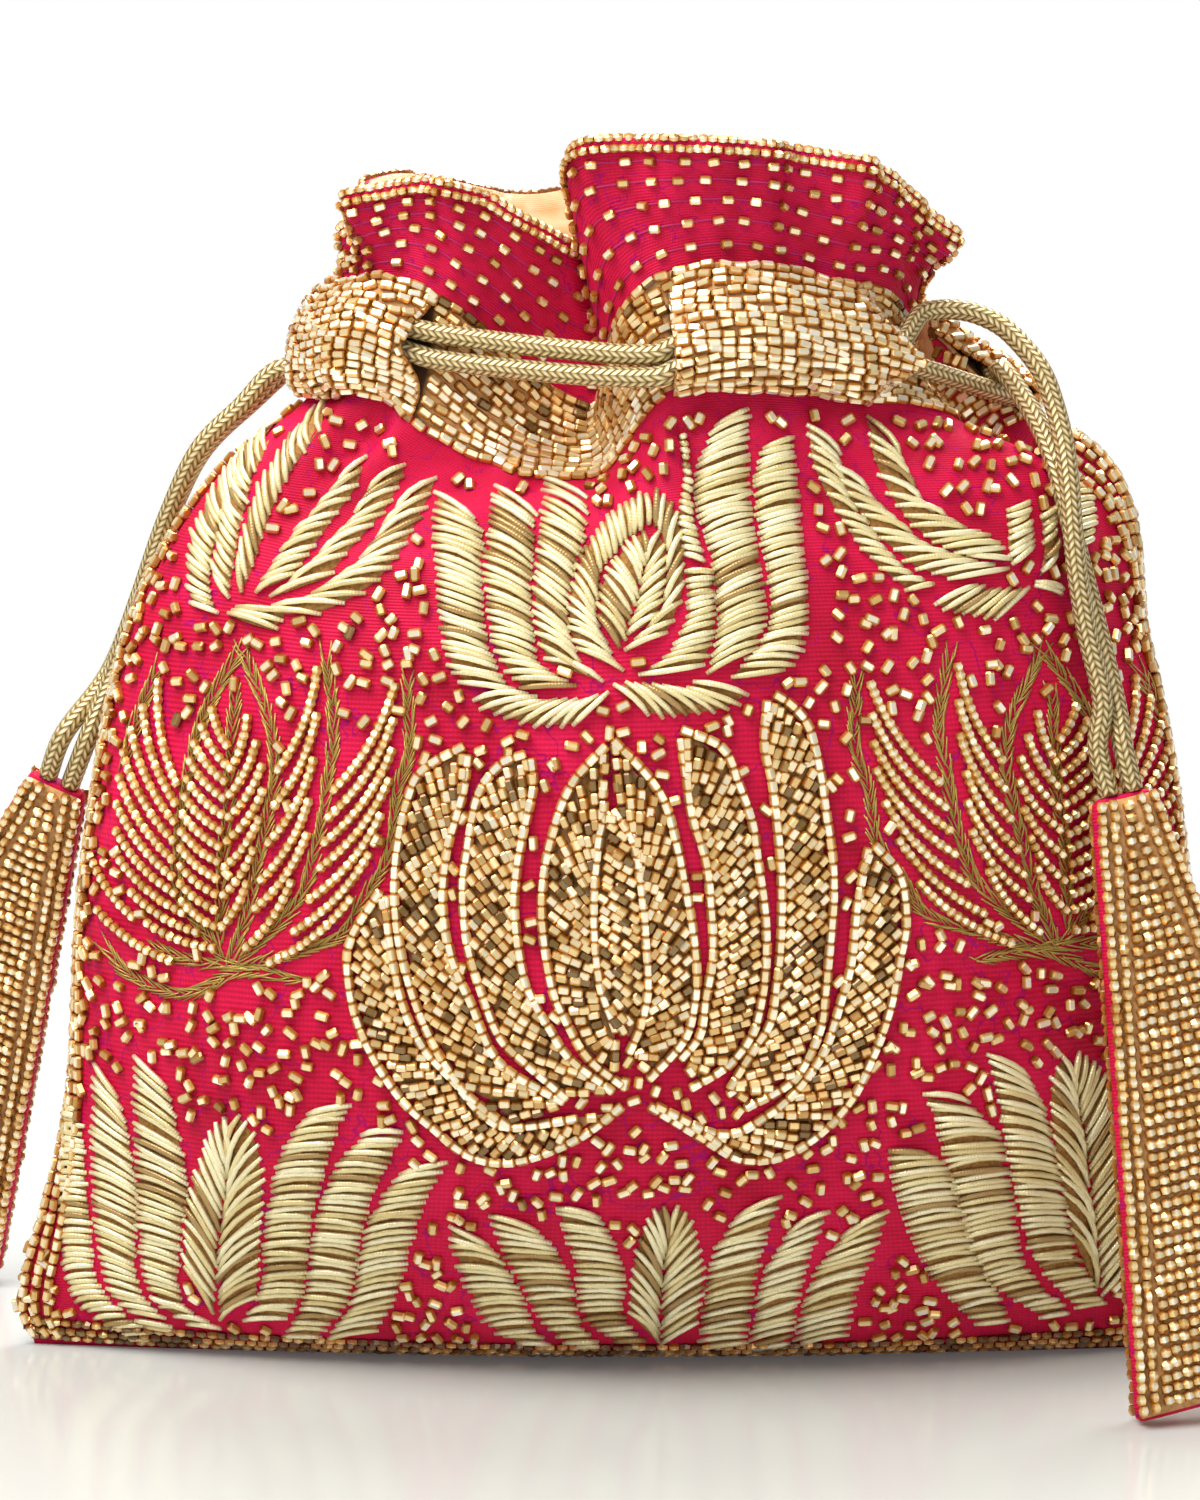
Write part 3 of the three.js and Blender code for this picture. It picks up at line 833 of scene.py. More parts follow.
# each column of cut wires runs from one line of ends to another
wireColumns = [
    # upperLotus
    ([465, 687, 450, 667, 441, 629, 436, 571, 434, 531, 436, 488],
     [523, 692, 506, 682, 488, 637, 484, 576, 484, 536, 474, 513]),
    ([523, 692, 496, 654, 488, 619, 485, 559, 490, 521, 496, 481],
     [581, 688, 543, 667, 536, 647, 532, 597, 535, 546, 537, 511]),
    ([546, 665, 536, 632, 533, 597, 537, 554, 543, 508, 545, 473],
     [611, 685, 586, 670, 569, 629, 574, 576, 586, 536, 587, 496]),
    ([579, 654, 567, 629, 569, 594, 579, 559, 596, 531, 614, 508, 649, 488],
     [627, 675, 606, 642, 596, 612, 601, 574, 616, 551, 634, 534, 650, 523]),
    ([621, 654, 657, 617, 667, 581, 668, 549, 659, 531, 653, 523],
     [667, 637, 684, 591, 684, 551, 679, 516, 664, 493, 652, 488]),
    ([599, 619, 601, 581, 616, 556, 629, 539, 647, 529],
     [620, 652, 627, 629, 635, 604, 643, 571, 649, 554]),
    ([627, 639, 634, 612, 639, 589, 645, 569, 650, 556],
     [659, 617, 667, 581, 668, 551, 662, 536, 652, 529]),
    ([632, 675, 664, 659, 677, 637, 687, 612, 687, 586, 684, 569],
     [702, 670, 710, 654, 715, 632, 715, 609, 712, 586, 710, 569]),
    ([682, 556, 679, 516, 684, 478, 679, 433],
     [705, 564, 692, 516, 689, 478, 686, 433]),
    ([705, 677, 715, 639, 715, 604, 707, 549, 695, 508, 695, 473, 715, 423],
     [755, 652, 764, 627, 766, 604, 757, 551, 752, 516, 749, 445, 749, 404]),
    ([725, 680, 760, 642, 770, 609, 763, 559, 755, 516, 755, 466, 765, 445],
     [778, 672, 800, 654, 808, 609, 803, 546, 798, 501, 795, 458, 791, 433]),
    ([470, 695, 485, 710, 533, 726, 581, 725],
     [523, 693, 559, 700, 586, 697, 613, 692]),
    ([611, 682, 627, 682, 647, 683, 674, 687, 697, 682],
     [644, 714, 667, 717, 697, 715, 727, 709, 755, 692]),
    # leftLotus
    ([192, 606, 190, 545, 217, 484, 251, 434, 293, 399],
     [219, 615, 211, 571, 230, 512, 259, 469, 270, 438]),
    ([213, 575, 217, 545, 230, 486, 245, 455],
     [230, 604, 236, 562, 243, 524, 255, 478]),
    ([241, 598, 253, 573, 270, 520, 289, 478, 325, 425],
     [238, 558, 245, 528, 262, 480, 285, 444, 333, 389]),
    ([253, 596, 274, 566, 295, 535, 329, 499, 344, 478],
     [293, 579, 314, 549, 339, 514, 361, 482, 369, 446]),
    ([262, 602, 295, 581, 331, 541, 363, 503, 371, 486],
     [331, 579, 356, 545, 384, 514, 401, 486, 409, 459]),
    ([238, 613, 289, 604, 325, 587, 356, 564, 386, 524, 403, 505],
     [314, 617, 356, 598, 390, 571, 415, 531, 432, 495, 443, 467]),
    ([230, 616, 238, 605],
     [276, 632, 297, 606]),
    # rightLotus
    ([805, 419, 812, 466, 839, 519, 866, 556, 906, 591],
     [840, 450, 847, 500, 872, 531, 904, 570, 937, 584]),
    ([817, 456, 843, 492, 874, 535, 894, 551, 912, 568, 953, 580],
     [861, 482, 886, 513, 927, 547, 951, 556, 990, 564, 1014, 572]),
    ([863, 411, 866, 439, 874, 464, 888, 496, 910, 527, 935, 545, 968, 558],
     [896, 451, 908, 482, 920, 503, 943, 517, 961, 527, 992, 537, 1012, 562]),
    ([1012, 568, 1006, 549, 1006, 525, 1004, 507],
     [1032, 549, 1031, 531, 1029, 511, 1026, 499]),
    ([1037, 580, 1043, 551, 1041, 529, 1038, 512],
     [1057, 556, 1057, 532, 1055, 515, 1052, 503]),
    ([1076, 549, 1075, 523, 1073, 494, 1072, 472],
     [1092, 539, 1094, 515, 1090, 494, 1082, 478]),
    ([927, 604, 951, 612, 976, 617, 996, 621],
     [970, 584, 996, 588, 1017, 588, 1031, 586]),
    ([1033, 586, 1033, 581],
     [1061, 596, 1061, 585]),
    # lowLeftLotus
    ([133, 1344, 78, 1301, 62, 1233, 62, 1153, 67, 1096],
     [163, 1343, 103, 1288, 92, 1216, 85, 1140, 78, 1099]),
    ([150, 1332, 109, 1288, 95, 1205, 93, 1112, 96, 1053],
     [185, 1337, 141, 1285, 139, 1195, 128, 1120, 118, 1093]),
    ([194, 1329, 150, 1293, 139, 1216, 136, 1126, 135, 1049],
     [229, 1332, 183, 1299, 184, 1227, 191, 1195, 184, 1148, 169, 1085]),
    ([185, 1271, 185, 1216, 199, 1162, 210, 1131, 232, 1110],
     [217, 1318, 217, 1271, 222, 1222, 229, 1175, 231, 1151]),
    ([221, 1321, 220, 1263, 224, 1219, 231, 1184, 232, 1162],
     [259, 1299, 265, 1195, 262, 1151, 251, 1123, 235, 1110]),
    ([243, 1323, 262, 1290, 268, 1211, 284, 1151, 311, 1110],
     [287, 1321, 306, 1290, 314, 1222, 336, 1140, 353, 1099]),
    ([281, 1340, 303, 1304, 314, 1233, 333, 1175, 366, 1131],
     [320, 1340, 353, 1293, 366, 1219, 394, 1156, 407, 1129]),
    ([322, 1343, 350, 1307, 364, 1238, 380, 1200, 405, 1170],
     [377, 1334, 399, 1293, 418, 1227, 435, 1186, 449, 1159]),
    # lowLotus
    ([536, 1353, 487, 1324, 465, 1284, 450, 1240, 448, 1221],
     [566, 1355, 536, 1328, 522, 1293, 505, 1262, 485, 1240]),
    ([575, 1350, 540, 1320, 518, 1280, 496, 1240, 489, 1212],
     [606, 1350, 580, 1320, 573, 1284, 558, 1254, 536, 1227]),
    ([624, 1350, 584, 1315, 575, 1267, 562, 1227, 555, 1203],
     [654, 1350, 624, 1315, 626, 1280, 615, 1245, 599, 1214]),
    ([628, 1315, 630, 1276, 639, 1236, 650, 1214, 668, 1201],
     [659, 1346, 659, 1306, 661, 1276, 665, 1254, 669, 1236]),
    ([661, 1346, 661, 1306, 663, 1276, 668, 1254, 670, 1236],
     [698, 1324, 705, 1271, 698, 1236, 690, 1214, 672, 1201]),
    ([698, 1350, 703, 1306, 712, 1254, 738, 1214],
     [747, 1346, 756, 1280, 769, 1232, 784, 1192]),
    ([747, 1355, 754, 1311, 765, 1267, 791, 1227],
     [791, 1346, 800, 1293, 813, 1249, 831, 1205]),
    ([791, 1350, 800, 1311, 817, 1267, 844, 1232],
     [848, 1337, 857, 1293, 875, 1249, 892, 1205]),
    # lowRightLotus
    ([975, 1325, 932, 1280, 910, 1240, 893, 1190, 884, 1145],
     [1010, 1322, 985, 1270, 965, 1220, 948, 1170, 925, 1152]),
    ([1040, 1318, 975, 1270, 955, 1205, 935, 1130, 920, 1090],
     [1070, 1315, 1025, 1265, 1012, 1200, 1000, 1140, 965, 1100]),
    ([1075, 1310, 1030, 1255, 1010, 1180, 995, 1100, 985, 1048],
     [1105, 1305, 1075, 1250, 1060, 1180, 1045, 1120, 1025, 1075]),
    ([1072, 1240, 1055, 1160, 1048, 1100, 1053, 1068, 1066, 1047],
     [1097, 1300, 1092, 1230, 1085, 1170, 1078, 1120, 1070, 1085]),
    ([1100, 1300, 1094, 1230, 1087, 1170, 1080, 1120, 1072, 1085],
     [1132, 1260, 1128, 1170, 1115, 1100, 1098, 1065, 1072, 1047]),
]
# a bead's rings: place along it, width, and how much of the pale lining shows there
beadFacts = {
    "seed": [(-0.5, 0.76, 0.8), (0.0, 1.06, 1.06), (0.5, 0.76, 0.8)],
    "bevelled": [(-0.5, 0.8, 0.5), (-0.34, 1.0, 1.0), (0.34, 1.0, 1.0), (0.5, 0.8, 0.5)],
    "roll": 0.22,  # radians about the thread
    "tones": (1.5, 1.2),  # of a beta distribution
}
# petals packed with short strings of beads between two outlines, and which way the strings slope
packedPetals = [
    (
        1,
        [467, 745, 426, 769, 410, 801, 399, 859, 399, 919, 413, 986, 438, 1047, 470, 1094, 512, 1126],
        [470, 753, 465, 792, 450, 846, 445, 903, 454, 957, 473, 1002, 493, 1050, 518, 1075, 566, 1101],
    ),
    (
        1,
        [528, 753, 502, 764, 480, 795, 469, 852, 465, 890, 470,
         945, 486, 999, 502, 1037, 528, 1063, 569, 1098],
        [532, 757, 534, 788, 523, 839, 516, 890, 518, 935, 528, 986, 550, 1027, 572, 1059, 614, 1091],
    ),
    (
        1,
        [607, 744, 572, 785, 553, 836, 544, 884, 544, 929, 553, 986, 566, 1018, 588, 1056, 623, 1085],
        [611, 811, 601, 830, 595, 887, 595, 935, 601, 986, 617, 1031],
    ),
    (
        1,
        [601, 817, 595, 887, 595, 935, 601, 986, 617, 1031],
        [617, 811, 632, 839, 641, 884, 646, 941, 648, 986, 641, 1024, 626, 1043],
    ),
    (
        -1,
        [613, 808, 632, 839, 641, 884, 646, 941, 648, 986, 641, 1024, 629, 1053],
        [613, 739, 645, 772, 664, 801, 675, 839, 683, 878, 692,
         929, 696, 977, 691, 1018, 680, 1044, 648, 1079],
    ),
    (
        -1,
        [680, 737, 686, 776, 692, 817, 705, 859, 710, 903, 712, 954, 705, 999, 699, 1034, 680, 1059],
        [680, 728, 721, 747, 737, 782, 751, 823, 756, 859, 764, 916,
         764, 967, 759, 1005, 750, 1034, 728, 1063, 689, 1088],
    ),
    (
        -1,
        [766, 699, 763, 744, 771, 785, 777, 839, 780, 884, 779,
         945, 775, 983, 769, 1021, 753, 1047, 728, 1088],
        [772, 693, 791, 706, 807, 728, 818, 772, 823, 808, 830, 859, 831,
         903, 826, 961, 823, 992, 817, 1031, 791, 1079, 743, 1107],
    ),
    (
        -1,
        [866, 846, 855, 903, 849, 961, 839, 999, 823, 1047, 798, 1085, 766, 1114, 721, 1133, 654, 1104],
        [871, 843, 897, 875, 903, 922, 897, 957, 887, 1008, 871, 1053, 849,
         1098, 817, 1133, 779, 1155, 740, 1158, 705, 1139, 648, 1104],
    ),
    (
        1,
        [384, 889, 356, 935, 351, 967, 359, 1015, 378, 1059, 407, 1101, 435,
         1126, 467, 1152, 502, 1161, 537, 1155, 585, 1133, 623, 1104],
        [389, 894, 391, 929, 397, 967, 407, 1008, 426, 1047, 458, 1082, 489, 1117, 518, 1126, 579, 1117],
    ),
]
sharedPetal = 3  # the petal whose outlines are its neighbours'


def spline(points, share):
    # a smooth curve through flat x, y pairs, at shares of its length
    pairs = np.asarray(points, float).reshape(-1, 2)
    run = runAlong(pairs)
    place = np.interp(share, run / run[-1], np.arange(len(run)))
    return np.stack([along(pairs[:, 0], place), along(pairs[:, 1], place)], axis=-1)


def ruled(first, second, pitch, shear=0.0):
    # straight rungs from one curve to another, a pitch apart as measured square to the rungs; with
    # shear their far ends run ahead, and at the curves' tips they fan out
    share = np.linspace(-shear, 1, 240)
    start, end = spline(first, np.clip(share, 0, 1)), spline(second, np.clip(share + shear, 0, 1))
    rung = unit(end - start)
    move = np.diff((start + end) / 2, axis=0)
    square = np.abs(rung[:-1, 0] * move[:, 1] - rung[:-1, 1] * move[:, 0])
    run = np.concatenate([[0], np.cumsum(square)])
    count = max(int(run[-1] / pitch), 2)
    chosen = np.interp((np.arange(count) + 0.5) / count * run[-1], run, share)
    return spline(first, np.clip(chosen, 0, 1)), spline(second, np.clip(chosen + shear, 0, 1))


searchFacts = {
    "turns": (181, 359, 90),
    "stations": (0.05, 6.2, 83),
    "together": 800,  # pixels looked up at once
    "tries": 7,
    "widest": (2, 0.1),  # the longest steps
    "within": ((180.3, 359.7), (0.02, 7.9)),
}


def underPixel(pixels):
    # the turn and station seen at a pixel: the nearest of a grid of places, then Newton's steps
    grid = np.meshgrid(np.linspace(*searchFacts["turns"]), np.linspace(*searchFacts["stations"]))
    turns, stations = [axis.ravel() for axis in grid]
    spots = pouch(turns, stations)
    facing = ((eye - spots) * pouchNormal(turns, stations)).sum(-1) > 0
    turns, stations, seen = turns[facing], stations[facing], toPixel(spots[facing])
    wanted = pixels.reshape(-1, 2)
    parts = np.array_split(wanted, len(wanted) // searchFacts["together"] + 1)
    nearest = np.concatenate([((part[:, None] - seen) ** 2).sum(-1).argmin(1) for part in parts])
    turn, station = turns[nearest], stations[nearest]
    (turnMost, stationMost), (turnEnds, stationEnds) = searchFacts["widest"], searchFacts["within"]
    for _ in range(searchFacts["tries"]):
        here = toPixel(pouch(turn, station))
        byTurn = (toPixel(pouch(turn + 0.2, station)) - here) / 0.2
        byStation = (toPixel(pouch(turn, station + 0.02)) - here) / 0.02
        miss = wanted - here
        area = byTurn[:, 0] * byStation[:, 1] - byTurn[:, 1] * byStation[:, 0]
        area = np.where(np.abs(area) < 1, -1.0, area)
        turnStep = (miss[:, 0] * byStation[:, 1] - miss[:, 1] * byStation[:, 0]) / area
        stationStep = (byTurn[:, 0] * miss[:, 1] - byTurn[:, 1] * miss[:, 0]) / area
        turn = np.clip(turn + np.clip(turnStep, -turnMost, turnMost), *turnEnds)
        station = np.clip(station + np.clip(stationStep, -stationMost, stationMost), *stationEnds)
    return turn.reshape(pixels.shape[:-1]), station.reshape(pixels.shape[:-1])


def bothSides(name, points, quads, uv, material, slot):
    # the front's work, and the same turned half round for the back
    print(name, len(quads) * 4, "triangles both sides")
    buildMesh("front_" + name, points, quads, uv, material, slot)
    buildMesh("back_" + name, halfTurn(points), quads, uv, material, slot)


def tubes(turn, station, lift, radius):
    # round sections at every ring of many paths over the pouch, closed at both ends
    centres = pouch(turn, station, lift)
    tangent = unit(np.gradient(centres, axis=1))
    other = unit(np.cross(tangent, pouchNormal(turn, station)))
    upright = np.cross(other, tangent)
    angle = np.arange(rodSides) * 2 * np.pi / rodSides
    section = upright[:, :, None] * np.cos(angle)[:, None] + other[:, :, None] * np.sin(angle)[:, None]
    points = centres[:, :, None] + section * np.broadcast_to(radius, turn.shape)[..., None, None]
    return points.reshape(-1, 3), rodQuads(*turn.shape)


def bentLines(start, middle, end, f):
    # quadratic curves from start to end, drawn towards a middle point
    return (1 - f) ** 2 * start[:, None] + 2 * f * (1 - f) * middle[:, None] + f * f * end[:, None]


paddingFacts = {
    "rows": 5,
    "columns": 10,
    "across": (0.08, 0.92),
    "lengthwise": (0.03, 0.97),
    "edge": 0.12,
    "under": 0.05,
}


def makePadding(name, pairs, height, material):
    # a low cushion between each pair of lines: a sheet from one to the other, highest in its middle
    rows, columns = paddingFacts["rows"], paddingFacts["columns"]
    r, c = rows // 2, columns // 2
    share = np.linspace(*paddingFacts["lengthwise"], columns)
    f = np.linspace(*paddingFacts["across"], rows)[:, None, None]
    rise = height * np.sin(np.pi * f[..., 0]) + paddingFacts["edge"]
    shapes = []
    for first, second in pairs:
        start, end = spline(first, share), spline(second, share)
        turn, station = underPixel(start + f * (end - start))
        over, under = pouch(turn, station, rise), pouch(turn, station, paddingFacts["under"])
        points, quads = clothWall(over, under)
        facing = np.cross(over[r, c + 1] - over[r, c - 1], over[r + 1, c] - over[r - 1, c])
        if facing @ pouchNormal(turn[r, c], station[r, c]) < 0:
            quads = quads[:, ::-1]
        shapes.append((points, quads, np.ones((len(points), 2))))
    bothSides(name, *joinShapes(shapes), material, "silk")


def makeWires():
    # a bent line from end to end of each cut of wire, lifted in its middle over the padding
    rungs = [ruled(first, second, wireFacts["pitch"]) for first, second in wireColumns]
    start, end = [np.concatenate(ends) for ends in zip(*rungs)]
    start = start + chance.normal(0, wireFacts["stray"], start.shape)
    end = end + chance.normal(0, wireFacts["stray"], end.shape)
    reach = end - start
    count = len(reach)
    square = np.stack([reach[:, 1], -reach[:, 0]], axis=-1)
    square = square * np.where(square[:, 1:] > 0, -1, 1)  # wires bow upwards
    bow = start + 0.5 * reach + square * chance.normal(*wireFacts["bow"], (count, 1))
    f = np.linspace(0, 1, wireFacts["rings"])[None, :, None]
    bent = bentLines(start, bow, end, f)
    turn, station = underPixel(bent)
    share = f[..., 0]
    lift = wireFacts["lift"] + wireFacts["rise"] * np.sin(np.pi * share) ** 0.8
    lift = lift + chance.normal(0, wireFacts["uneven"], (count, 1))
    radius = wireFacts["radius"] * (1 - wireFacts["taper"] * np.abs(2 * share - 1) ** 6)
    points, quads = tubes(turn, station, lift, radius)
    length = np.linalg.norm(np.diff(pouch(turn, station, lift), axis=1), axis=-1).sum(1)
    few, dull = wireFacts["dull"]
    tone = np.where(chance.random(count) < few, dull, chance.uniform(0.2, 1, count))
    u = share * length[:, None] / wireFacts["coil"] * 2 * np.pi
    uv = np.broadcast_arrays(u[:, :, None], tone[:, None, None], np.zeros(rodSides))[:2]
    bothSides("bullion", points, quads, np.stack(uv, axis=-1).reshape(-1, 2), bullion, "wire")
    return bent.reshape(-1, 2)


def beadShapes(centres, axes, normals, length, radius, cut, pale=0.0):
    # a six-sided rod at every centre, lying along its axis with one flat turned out
    count = len(centres)
    axes = unit(axes)
    other = unit(np.cross(axes, normals))
    upright = np.cross(other, axes)
    length = np.broadcast_to(length, count)
    radius = np.broadcast_to(radius, count)
    angle = (np.arange(rodSides) + 0.5) * 2 * np.pi / rodSides
    angle = angle + chance.normal(0, beadFacts["roll"], (count, 1))
    rim = upright[:, None] * np.cos(angle)[..., None] + other[:, None] * np.sin(angle)[..., None]
    places, widths, linings = np.array(beadFacts[cut]).T
    rods = centres[:, None] + axes[:, None] * (places * length[:, None])[..., None]
    points = rods[:, :, None] + rim[:, None] * (widths * radius[:, None])[..., None, None]
    tones = np.clip(chance.beta(*beadFacts["tones"], count) + pale, 0, 1)
    # painted highlight: facets turned out from the cloth take the pale lining colour, near white at most;
    # partly the lining's own colour
    liningHighlight = (0.5 + 0.55 * np.cos(angle))[:, None, :] * linings[:, None]
    uv = np.stack(np.broadcast_arrays(np.clip(liningHighlight, 0, 1), tones[:, None, None]), axis=-1)
    return points.reshape(-1, 3), rodQuads(count, len(places)), uv.reshape(-1, 2)


def beadsAtPixels(pixels, headings, length, radius, lift, cut, pale=0.0):
    # beads on the pouch where the camera sees these pixels, turned to these headings
    ends = np.stack([pixels - 3 * headings, pixels, pixels + 3 * headings], axis=1)
    turn, station = underPixel(ends)
    spots = pouch(turn, station, lift)
    normals = pouchNormal(turn[:, 1], station[:, 1])
    return beadShapes(spots[:, 1], spots[:, 2] - spots[:, 0], normals, length, radius, cut, pale)


def strung(start, end, pitch, bow=0.0):
    # beads a pitch apart along slightly bowed strings from start to end
    places, headings, shares = [], [], []
    for a, b in zip(start, end):
        reach = b - a
        span = np.linalg.norm(reach)
        count = max(int(round(span / pitch)), 1)
        f = ((np.arange(count) + 0.5) / count)[:, None]
        square = np.array([reach[1], -reach[0]]) * (-1 if reach[0] > 0 else 1)
        places.append(a + f * reach + 4 * f * (1 - f) * bow * square)
        headings.append(unit(reach + 4 * (1 - 2 * f) * bow * square))
        shares.append(f[:, 0])
    return np.concatenate(places), np.concatenate(headings), np.concatenate(shares)


def strungAlong(line, pitch):
    # beads a pitch apart along one curve
    fine = spline(line, np.linspace(0, 1, 200))
    run = runAlong(fine)
    count = max(int(run[-1] / pitch), 1)
    even = np.interp((np.arange(count) + 0.5) / count * run[-1], run, np.linspace(0, 1, 200))
    return spline(line, even), unit(spline(line, even + 0.005) - spline(line, even - 0.005))


# in pixels but for the beads, which are length, radius and lift, and the rise
lotusFacts = {
    "outlinePitch": 13.3,
    "outlineBead": (2.3, 0.95, 1.1),
    "rowPitch": 9.0,
    "slant": 0.14,
    "inset": 7.0,
    "narrowest": 18,
    "pitch": 12.0,
    "bead": (2.05, 0.95, 0.8),
    "rise": 0.7,  # in a petal's middle
    "shake": 1.3,
    "pale": (0.3, -0.2),  # how much more lining the outline and the filling show
}


def makePackedLotus():
    # outline strings, then the petals' filling of slanting strings that stop short of the outlines
    length, radius, low = lotusFacts["bead"]
    outlines, fills, lifts = [], [], []
    for number, (slope, first, second) in enumerate(packedPetals):
        if number != sharedPetal:
            outlines += [strungAlong(line, lotusFacts["outlinePitch"]) for line in (first, second)]
        a, b = (first, second) if slope > 0 else (second, first)
        start, end = ruled(a, b, lotusFacts["rowPitch"], lotusFacts["slant"])
        inset = lotusFacts["inset"] * unit(end - start)
        wide = np.linalg.norm(end - start, axis=1) > lotusFacts["narrowest"]
        places, headings, f = strung((start + inset)[wide], (end - inset)[wide], lotusFacts["pitch"])
        fills.append((places, headings))
        lifts.append(low + lotusFacts["rise"] * np.sin(np.pi * f))
    places, headings = [np.concatenate(rows) for rows in zip(*outlines)]
    filled, fillHeadings = [np.concatenate(rows) for rows in zip(*fills)]
    paler, darker = lotusFacts["pale"]
    outline = beadsAtPixels(places, headings, *lotusFacts["outlineBead"], "bevelled", paler)
    filled = filled + chance.normal(0, lotusFacts["shake"], filled.shape)
    lift = np.concatenate(lifts)[:, None]
    fill = beadsAtPixels(filled, fillHeadings, length, radius, lift, "bevelled", darker)
    bothSides("lotus_beads", *joinShapes([outline, fill]), beadGlass, "beads")
    return np.concatenate([places, filled])


# petals of parted strings: outer ends, inner ends
stringPetals = [
    ([171, 665, 139, 720, 125, 762, 120, 838, 134, 890, 158, 937],
     [184, 762, 181, 830, 181, 889, 198, 925, 221, 948]),
    ([219, 700, 196, 743, 186, 807, 183, 850, 183, 889, 190, 915],
     [234, 728, 231, 795, 225, 866, 222, 930]),
    ([246, 700, 262, 745, 268, 780, 262, 825, 253, 870, 246, 905],
     [234, 745, 231, 810, 226, 875, 223, 940]),
    ([321, 649, 319, 738, 313, 783, 311, 830, 297, 871, 288, 906],
     [282, 743, 276, 809, 266, 863, 255, 918, 245, 958]),
    ([398, 670, 394, 762, 384, 812, 363, 878, 342, 920],
     [339, 767, 328, 823, 318, 878, 292, 937, 264, 970]),
    ([94, 831, 96, 878, 101, 913, 106, 934],
     [130, 890, 145, 930, 165, 955, 200, 970]),
]
threadLines = [
    [243, 647, 212, 701, 196, 743, 184, 807, 181, 842, 181, 890, 222, 955],
    [243, 647, 255, 677, 271, 724, 276, 771, 269, 819, 259, 866, 250, 908, 233, 960],
    [236, 690, 231, 795, 224, 866, 222, 937],
    [326, 649, 335, 724, 330, 771, 318, 842, 299, 901, 243, 958],
    [408, 675, 410, 748, 398, 795, 389, 854, 363, 901, 337, 937, 245, 967],
    [160, 665, 140, 715, 126, 760],
    [104, 944, 139, 979, 186, 993, 243, 972, 299, 979],
    [150, 945, 190, 960, 240, 965],
]
# the right-hand lotus is the left one turned over about these points, a little wider and lower
mirrorFacts = {"here": (229, 649), "there": (1058, 650), "scale": (-1.13, 0.935)}
# in pixels but for the bead, which is length, radius and lift
stringFacts = {
    "rowPitch": 12.5,
    "slant": 0.07,
    "narrowest": 14,
    "pitch": 8.2,
    "bow": 0.07,
    "bead": (1.5, 0.95, 0.85),
    "pale": 0.2,
}
# in pixels but for radius, lift and rise; the thread is drawn a little thicker than its 0.2 mm
stitchFacts = {
    "pitch": 3.4,
    "half": (9, 15),
    "out": (4, 8),
    "bend": (0.5, 0.9),
    "stray": 1.5,
    "rings": 3,
    "radius": 0.15,
    "lift": 0.25,
    "rise": 0.35,
}


def mirrored(line):
    # each pair's way from one point, scaled and set out from the other
    pairs = np.asarray(line, float).reshape(-1, 2)
    return ((pairs - mirrorFacts["here"]) * mirrorFacts["scale"] + mirrorFacts["there"]).ravel()


def makeStringBeads():
    # strings of round beads across each petal
    strings = []
    for turnOver in (np.asarray, mirrored):
        for outer, inner in stringPetals:
            lines = turnOver(outer), turnOver(inner)
            start, end = ruled(*lines, stringFacts["rowPitch"], stringFacts["slant"])
            wide = np.linalg.norm(end - start, axis=1) > stringFacts["narrowest"]
            strings.append(strung(start[wide], end[wide], stringFacts["pitch"], stringFacts["bow"]))
    places, headings, _ = [np.concatenate(rows) for rows in zip(*strings)]
    beads = beadsAtPixels(places, headings, *stringFacts["bead"], "seed", stringFacts["pale"])
    bothSides("string_beads", *beads, beadGlass, "beads")
    return places


def makeGiltThread():
    # feathered stitches along the petals' edges: each starts out to one side, by turns left and
    # right, and runs in to the line
    stitches, covered = [], []
    for line in [turnOver(line) for turnOver in (np.asarray, mirrored) for line in threadLines]:
        fine = spline(line, np.linspace(0, 1, 160))
        covered.append(fine)
        count = int(runAlong(fine)[-1] / stitchFacts["pitch"])
        share = (np.arange(count) + 0.5) / count
        at = spline(line, share)
        heading = unit(spline(line, share + 0.01) - spline(line, share - 0.01))
        square = np.stack([heading[:, 1], -heading[:, 0]], axis=-1)
        side = np.where(np.arange(count) % 2, 1.0, -1.0)[:, None]
        half = chance.uniform(*stitchFacts["half"], (count, 1))
        out = side * chance.uniform(*stitchFacts["out"], (count, 1))
        middle = at + square * out * chance.uniform(*stitchFacts["bend"], (count, 1))
        end = at + heading * half + square * chance.normal(0, stitchFacts["stray"], (count, 1))
        stitches.append((at - heading * half + square * out, middle, end))
    start, middle, end = [np.concatenate(points) for points in zip(*stitches)]
    f = np.linspace(0, 1, stitchFacts["rings"])[None, :, None]
    turn, station = underPixel(bentLines(start, middle, end, f))
    raised = stitchFacts["rise"] * np.sin(np.pi * f[..., 0]) * chance.random((len(start), 1))
    points, quads = tubes(turn, station, stitchFacts["lift"] + raised, stitchFacts["radius"])
    bothSides("gilt_thread", points, quads, np.zeros((len(points), 2)), giltThread, "wire")
    return np.concatenate(covered)


makePadding("wire_padding", wireColumns, wireFacts["padding"], felt)
makePadding("lotus_ground", [(first, second) for _, first, second in packedPetals], 0.15, goldGround)
covered = np.concatenate([makeWires(), makePackedLotus(), makeStringBeads(), makeGiltThread()])
print("motifs made")


# single beads over the bare ground, kept clear of the motifs
scatterFacts = {
    "stations": (0.78, 5.85),
    "turns": (184, 356),
    "spacing": 3.6,
    "shake": 1.5,
    "wander": 0.045,  # up and down, in stations
    "clear": 7.0,  # pixels
    "cell": 3,
    "length": 2.35,
    "radius": 0.9,
    "lift": 0.8,
    "tip": 0.12,
}


